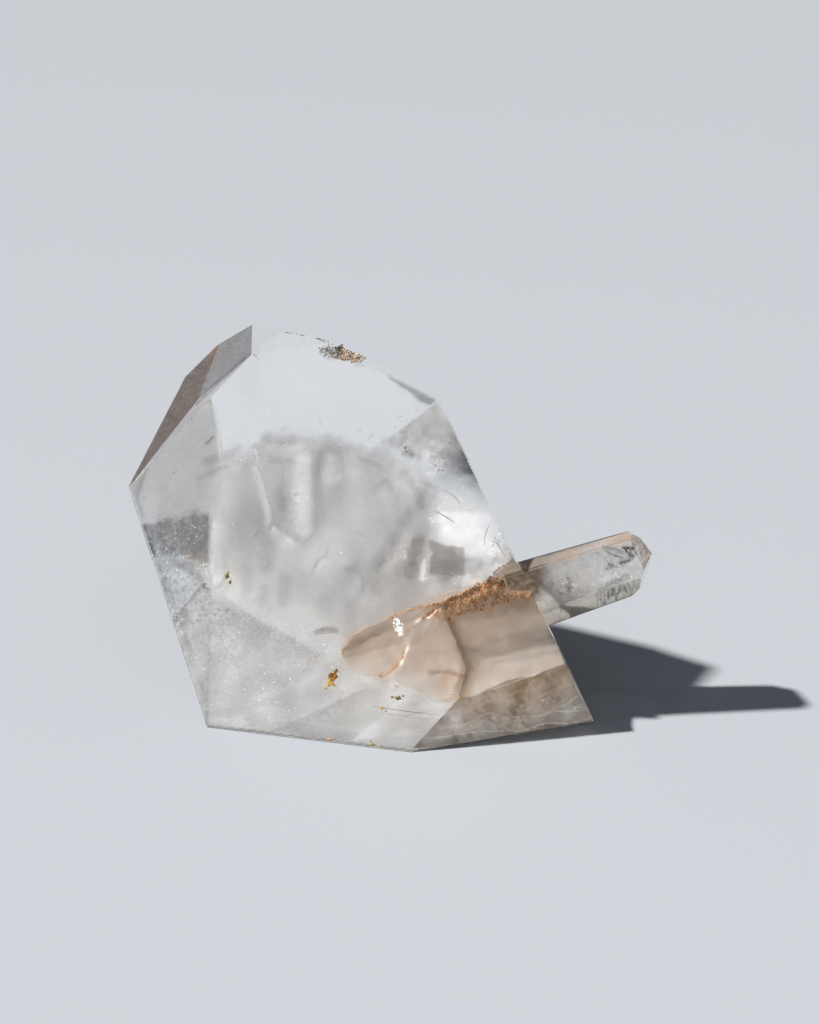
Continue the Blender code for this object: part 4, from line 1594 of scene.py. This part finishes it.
# Clay and chips. The pit at the top edge is packed with lumps of brown clay round dark holes, and
# dark chips nick the thin top edge.
CLAY_RUNS = (
    (((341, 348), (352, 352), (361, 357)), 5.5, 330, 0.08, 0.24, 0.66),
    (((341, 346), (348, 348), (355, 352)), 2.0, 60, 0.08, 0.2, 0.05),
    (((343, 356), (354, 361), (361, 359)), 2.4, 70, 0.08, 0.2, 0.95),
    (((343, 351), (352, 354), (360, 357)), 1.6, 46, 0.24, 0.42, 0.78),
    (((252, 354), (256, 356)), 0.8, 8, 0.05, 0.10, 0.20),
)
GREY_RUNS = (
    (((322, 351), (330, 350), (337, 352)), 5.0, 170, 0.08, 0.22, 0.75),
    (((326, 349), (330, 350)), 1.6, 30, 0.08, 0.16, 0.0),
    (((335, 347), (338, 348)), 1.2, 16, 0.08, 0.14, 0.0),
    (((286, 332), (296, 333), (303, 335)), 1.1, 60, 0.06, 0.13, 0.30),
    (((300, 334), (305, 335)), 1.0, 16, 0.06, 0.12, 0.0),
    (((268, 328), (274, 328)), 1.0, 18, 0.06, 0.13, 0.35),
    (((316, 338), (322, 340), (328, 342)), 1.2, 40, 0.05, 0.13, 0.40),
    (((436, 391), (440, 393)), 0.8, 8, 0.05, 0.11, 0.10),
)
random.seed(41)
clay_paint = grain_paint("clay_grain", (0.06, 0.05, 0.045), (0.46, 0.335, 0.235), (0.86, 0.71, 0.57), 0.85)
grey_paint = grain_paint("chip_grain", (0.05, 0.05, 0.05), (0.42, 0.405, 0.40), (0.86, 0.84, 0.83), 0.85)


LUMP_LONG, LUMP_HIGH, LUMP_SINK = (0.8, 1.5), 0.7, 0.35


def packed_at(path, half, least, most, middle):
    """The place, size, turn and shade of one lump near a path, or None beside the crystal."""
    u, v = near_path(path, half * 0.5)
    place, turn, _, _ = skin.ray_cast(EYE, sight(u, v))
    if place is None:
        return None
    here = random.uniform(least, most) * MM
    size = Vector((here * random.uniform(*LUMP_LONG), here, here * LUMP_HIGH))
    shade = any_shade(middle + 0.5 * uneven(u, v, 4, 4, 9.0), 0.16)
    return place - turn * here * LUMP_SINK, size, any_turn(), shade


def packed(runs):
    """Places of the lumps along each run of the pit or the edge."""
    places = []
    for path, half, count, *sizes in runs:
        places += [packed_at(path, half, *sizes) for _ in range(count)]
    return [place for place in places if place]


strewn("clay_lumps", packed(CLAY_RUNS), clay_paint, rough=0.5, seed=12.0, shadow=True)
strewn("grey_chips", packed(GREY_RUNS), grey_paint, rough=0.5, seed=13.0, shadow=True)

# Specks. Grains of iron ochre, green-brown chlorite and dark mineral are sealed inside the quartz,
# some as single lumps with a yellow halo, most as pepper near the faces. Each is placed by the
# photo point where it shows and its depth in millimetres behind the face.
random.seed(23)


def sealed(rows, lean=0.0):
    """Places of single lumps: photo point, depth, sizes and shade of each, flat behind the face."""
    places = []
    for u, v, deep, size_mm, shade in rows:
        start, ray, turn = behind_skin(u, v)
        lay = turn.to_track_quat("Z", "Y").to_matrix() @ Matrix.Rotation(lean, 3, "Z")
        places.append((start + ray * deep * MM, Vector(size_mm) * MM, lay, shade))
    return places


OCHRE = (
    (333, 677, 0.5, (0.55, 0.90, 0.22), 0.30),
    (336, 671, 0.5, (0.26, 0.46, 0.14), 0.05),
    (331, 675, 0.3, (0.34, 0.40, 0.12), 0.0),
    (330, 683, 0.5, (0.52, 0.52, 0.18), 0.70),
    (325, 688, 0.5, (0.34, 0.22, 0.12), 0.95),
    (334, 685, 0.5, (0.30, 0.22, 0.12), 0.6),
    (382, 708, 0.4, (0.26, 0.2, 0.12), 0.7),
    (386, 711, 0.4, (0.14, 0.12, 0.1), 0.25),
    (330, 739, 0.3, (0.30, 0.22, 0.12), 0.85),
    (372, 744, 0.3, (0.26, 0.24, 0.12), 0.6),
    (379, 747, 0.3, (0.22, 0.12, 0.1), 0.9),
    (371, 741, 0.3, (0.1, 0.1, 0.1), 0.1),
    (561, 611, 0.5, (0.14, 0.24, 0.12), 0.3),
    (563, 607, 0.5, (0.1, 0.1, 0.1), 0.7),
    (396, 686, 0.3, (0.36, 0.1, 0.08), 0.8),
    (460, 697, 0.3, (0.3, 0.12, 0.08), 0.75),
)
ochre_paint = grain_paint("ochre_grain", (0.20, 0.07, 0.01), (0.62, 0.30, 0.04), (0.95, 0.66, 0.22))
strewn("ochre_specks", sealed(OCHRE, -0.35), ochre_paint, rough=0.55, seed=5.0, subdivisions=2)

GREEN = (
    (227, 576, 1.0, (0.36, 0.46, 0.2), 0.3),
    (230, 582, 1.0, (0.24, 0.34, 0.16), 0.45),
    (228, 572, 1.0, (0.2, 0.16, 0.12), 0.9),
    (398, 698, 0.5, (0.52, 0.30, 0.2), 0.35),
    (392, 697, 0.5, (0.22, 0.2, 0.14), 0.6),
    (403, 696, 0.5, (0.18, 0.14, 0.1), 0.2),
)
green_paint = grain_paint("chlorite_grain", (0.13, 0.10, 0.02), (0.34, 0.28, 0.08), (0.62, 0.52, 0.24))
strewn("green_specks", sealed(GREEN), green_paint, rough=0.6, seed=8.0, subdivisions=2)

# Each patch: its middle in the photo, its spread there, the number of grains and their size in mm.
PEPPER = (
    ((283, 429), 3, 5, 0.10), ((321, 423), 2, 4, 0.08), ((361, 431), 3, 5, 0.09),
    ((372, 437), 3, 6, 0.11), ((345, 441), 8, 8, 0.05), ((174, 473), 2, 4, 0.09),
    ((145, 498), 2, 3, 0.07), ((169, 498), 2, 3, 0.07), ((208, 441), 3, 6, 0.08),
    ((406, 450), 4, 12, 0.13), ((400, 420), 9, 14, 0.07), ((418, 412), 9, 12, 0.06),
    ((440, 466), 7, 34, 0.09), ((436, 456), 4, 14, 0.09), ((450, 443), 1, 4, 0.11),
    ((497, 543), 5, 40, 0.07), ((509, 555), 5, 34, 0.06), ((300, 440), 20, 16, 0.05),
    ((158, 530), 12, 34, 0.06), ((190, 532), 14, 60, 0.05), ((205, 540), 5, 26, 0.05),
    ((430, 520), 5, 16, 0.05), ((495, 500), 10, 22, 0.05), ((508, 530), 8, 26, 0.05),
    ((498, 560), 14, 40, 0.05), ((630, 592), 10, 60, 0.07), ((600, 603), 16, 70, 0.06),
    ((568, 588), 6, 26, 0.05), ((612, 566), 5, 16, 0.06), ((620, 560), 5, 10, 0.05),
    ((530, 705), 12, 14, 0.05), ((560, 712), 14, 18, 0.05), ((178, 560), 14, 22, 0.05),
)


def sprinkled(rows, size_mm, stretch, flatness, depths_mm, turned):
    """Places of grains inside the rock round the photo points of rows. size_mm takes what a row
    holds after its number of grains, and turned the photo point of a grain."""
    places = []
    for (mu, mv), wide, count, *sizes in rows:
        for _ in range(count):
            u, v = random.gauss(mu, wide * 0.6), random.gauss(mv, wide * 0.6)
            start, ray, _ = behind_skin(u, v)
            if start is None:
                continue
            here = size_mm(*sizes) * MM
            shape = Vector((here, here * random.uniform(*stretch), here * flatness))
            deep = random.uniform(*depths_mm) * MM
            places.append((start + ray * deep, shape, turned(u, v), random.random()))
    return places


peppered = sprinkled(
    PEPPER,
    size_mm=lambda size: size * random.uniform(0.45, 1.25),
    stretch=(0.5, 1.6),
    flatness=0.7,
    depths_mm=(0.4, 1.0),
    turned=lambda u, v: any_turn(),
)
pepper_paint = grain_paint("pepper_grain", (0.03, 0.03, 0.035), (0.12, 0.11, 0.10), (0.34, 0.32, 0.29))
strewn("dark_specks", peppered, pepper_paint, rough=0.5, seed=3.0)

# Glint. High on the left wall of the scoop a fresh splinter mirrors the key light. White flakes
# turned to the light paint that glint as a white patch, crossed by a few dark cracks.
GLINT_RUNS = (
    (((396, 618), (399, 627), (401, 635)), 2.8, 150, 0.10, 0.24),
    (((393, 622), (396, 631)), 1.2, 30, 0.08, 0.16),
)
GLINT_CRACKS = (
    (((394, 619), (398, 624), (402, 626)), 0.4, 30, 0.04, 0.08),
    (((393, 624), (397, 628), (396, 633)), 0.4, 30, 0.04, 0.07),
    (((399, 616), (398, 624), (401, 633)), 0.3, 26, 0.04, 0.07),
)


FLAKE_LONG, FLAKE_HIGH = (0.6, 1.4), 0.15


def facing_light(u, v):
    """The turn of a flat flake that throws the key light at the camera."""
    lean = (towards_key.normalized() - sight(u, v) * 0.6).normalized()
    return lean.to_track_quat("Z", "Y").to_matrix() @ Matrix.Rotation(random.random() * 3, 3, "Z")


def flakes(runs, lift_mm):
    """Places of flat flakes strewn along each run, just off the wall."""
    places = []
    for path, half, count, least, most in runs:
        for _ in range(count):
            u, v = near_path(path, half * 0.5)
            place, turn, _, _ = skin.ray_cast(EYE, sight(u, v))
            if place is None:
                continue
            size = random.uniform(least, most) * MM
            shape = Vector((size, size * random.uniform(*FLAKE_LONG), size * FLAKE_HIGH))
            places.append((place + turn * lift_mm * MM, shape, facing_light(u, v), random.random()))
    return places


glint_paint = grain_paint("glint_white", (0.90, 0.91, 0.92), (1.0, 1.0, 1.0), (1.0, 1.0, 0.99), 0.25)
strewn("glint", flakes(GLINT_RUNS, lift_mm=0.05), glint_paint, rough=0.4, seed=14.0)
strewn("glint_cracks", flakes(GLINT_CRACKS, lift_mm=0.16), pepper_paint, rough=0.4, seed=15.0)

# Sparkle. Tiny flat cracks and bubbles catch the key light as white points: in the dusty lower
# left, along the left edge, in the painted light at the right and on the side point.
SPARKLE = (
    ((172, 618), 10, 60), ((195, 640), 26, 50), ((230, 670), 36, 34), ((280, 700), 34, 24),
    ((250, 717), 24, 20), ((170, 560), 20, 70), ((190, 530), 22, 60), ((208, 565), 8, 24),
    ((262, 466), 2, 6), ((440, 466), 8, 60), ((432, 520), 4, 34), ((455, 500), 18, 60),
    ((495, 545), 16, 50), ((580, 705), 16, 60), ((546, 699), 10, 30), ((630, 580), 18, 60),
    ((568, 586), 10, 40), ((600, 600), 20, 50), ((470, 597), 24, 60), ((300, 690), 30, 30),
    ((330, 660), 14, 14), ((290, 440), 50, 24), ((340, 520), 60, 30),
)
SPARK_SIZES_MM = (0.025, 0.03, 0.04, 0.06, 0.09)
sparks = sprinkled(
    SPARKLE,
    size_mm=lambda: random.choice(SPARK_SIZES_MM),
    stretch=(0.6, 1.8),
    flatness=0.2,
    depths_mm=(0.3, 0.9),
    turned=facing_light,
)
spark_paint = grain_paint("spark", (0.95, 0.96, 1.0), (1.0, 1.0, 1.0), (1.0, 0.98, 0.94), 0.3)
strewn("sparkle", sparks, spark_paint, rough=0.3, seed=2.0)
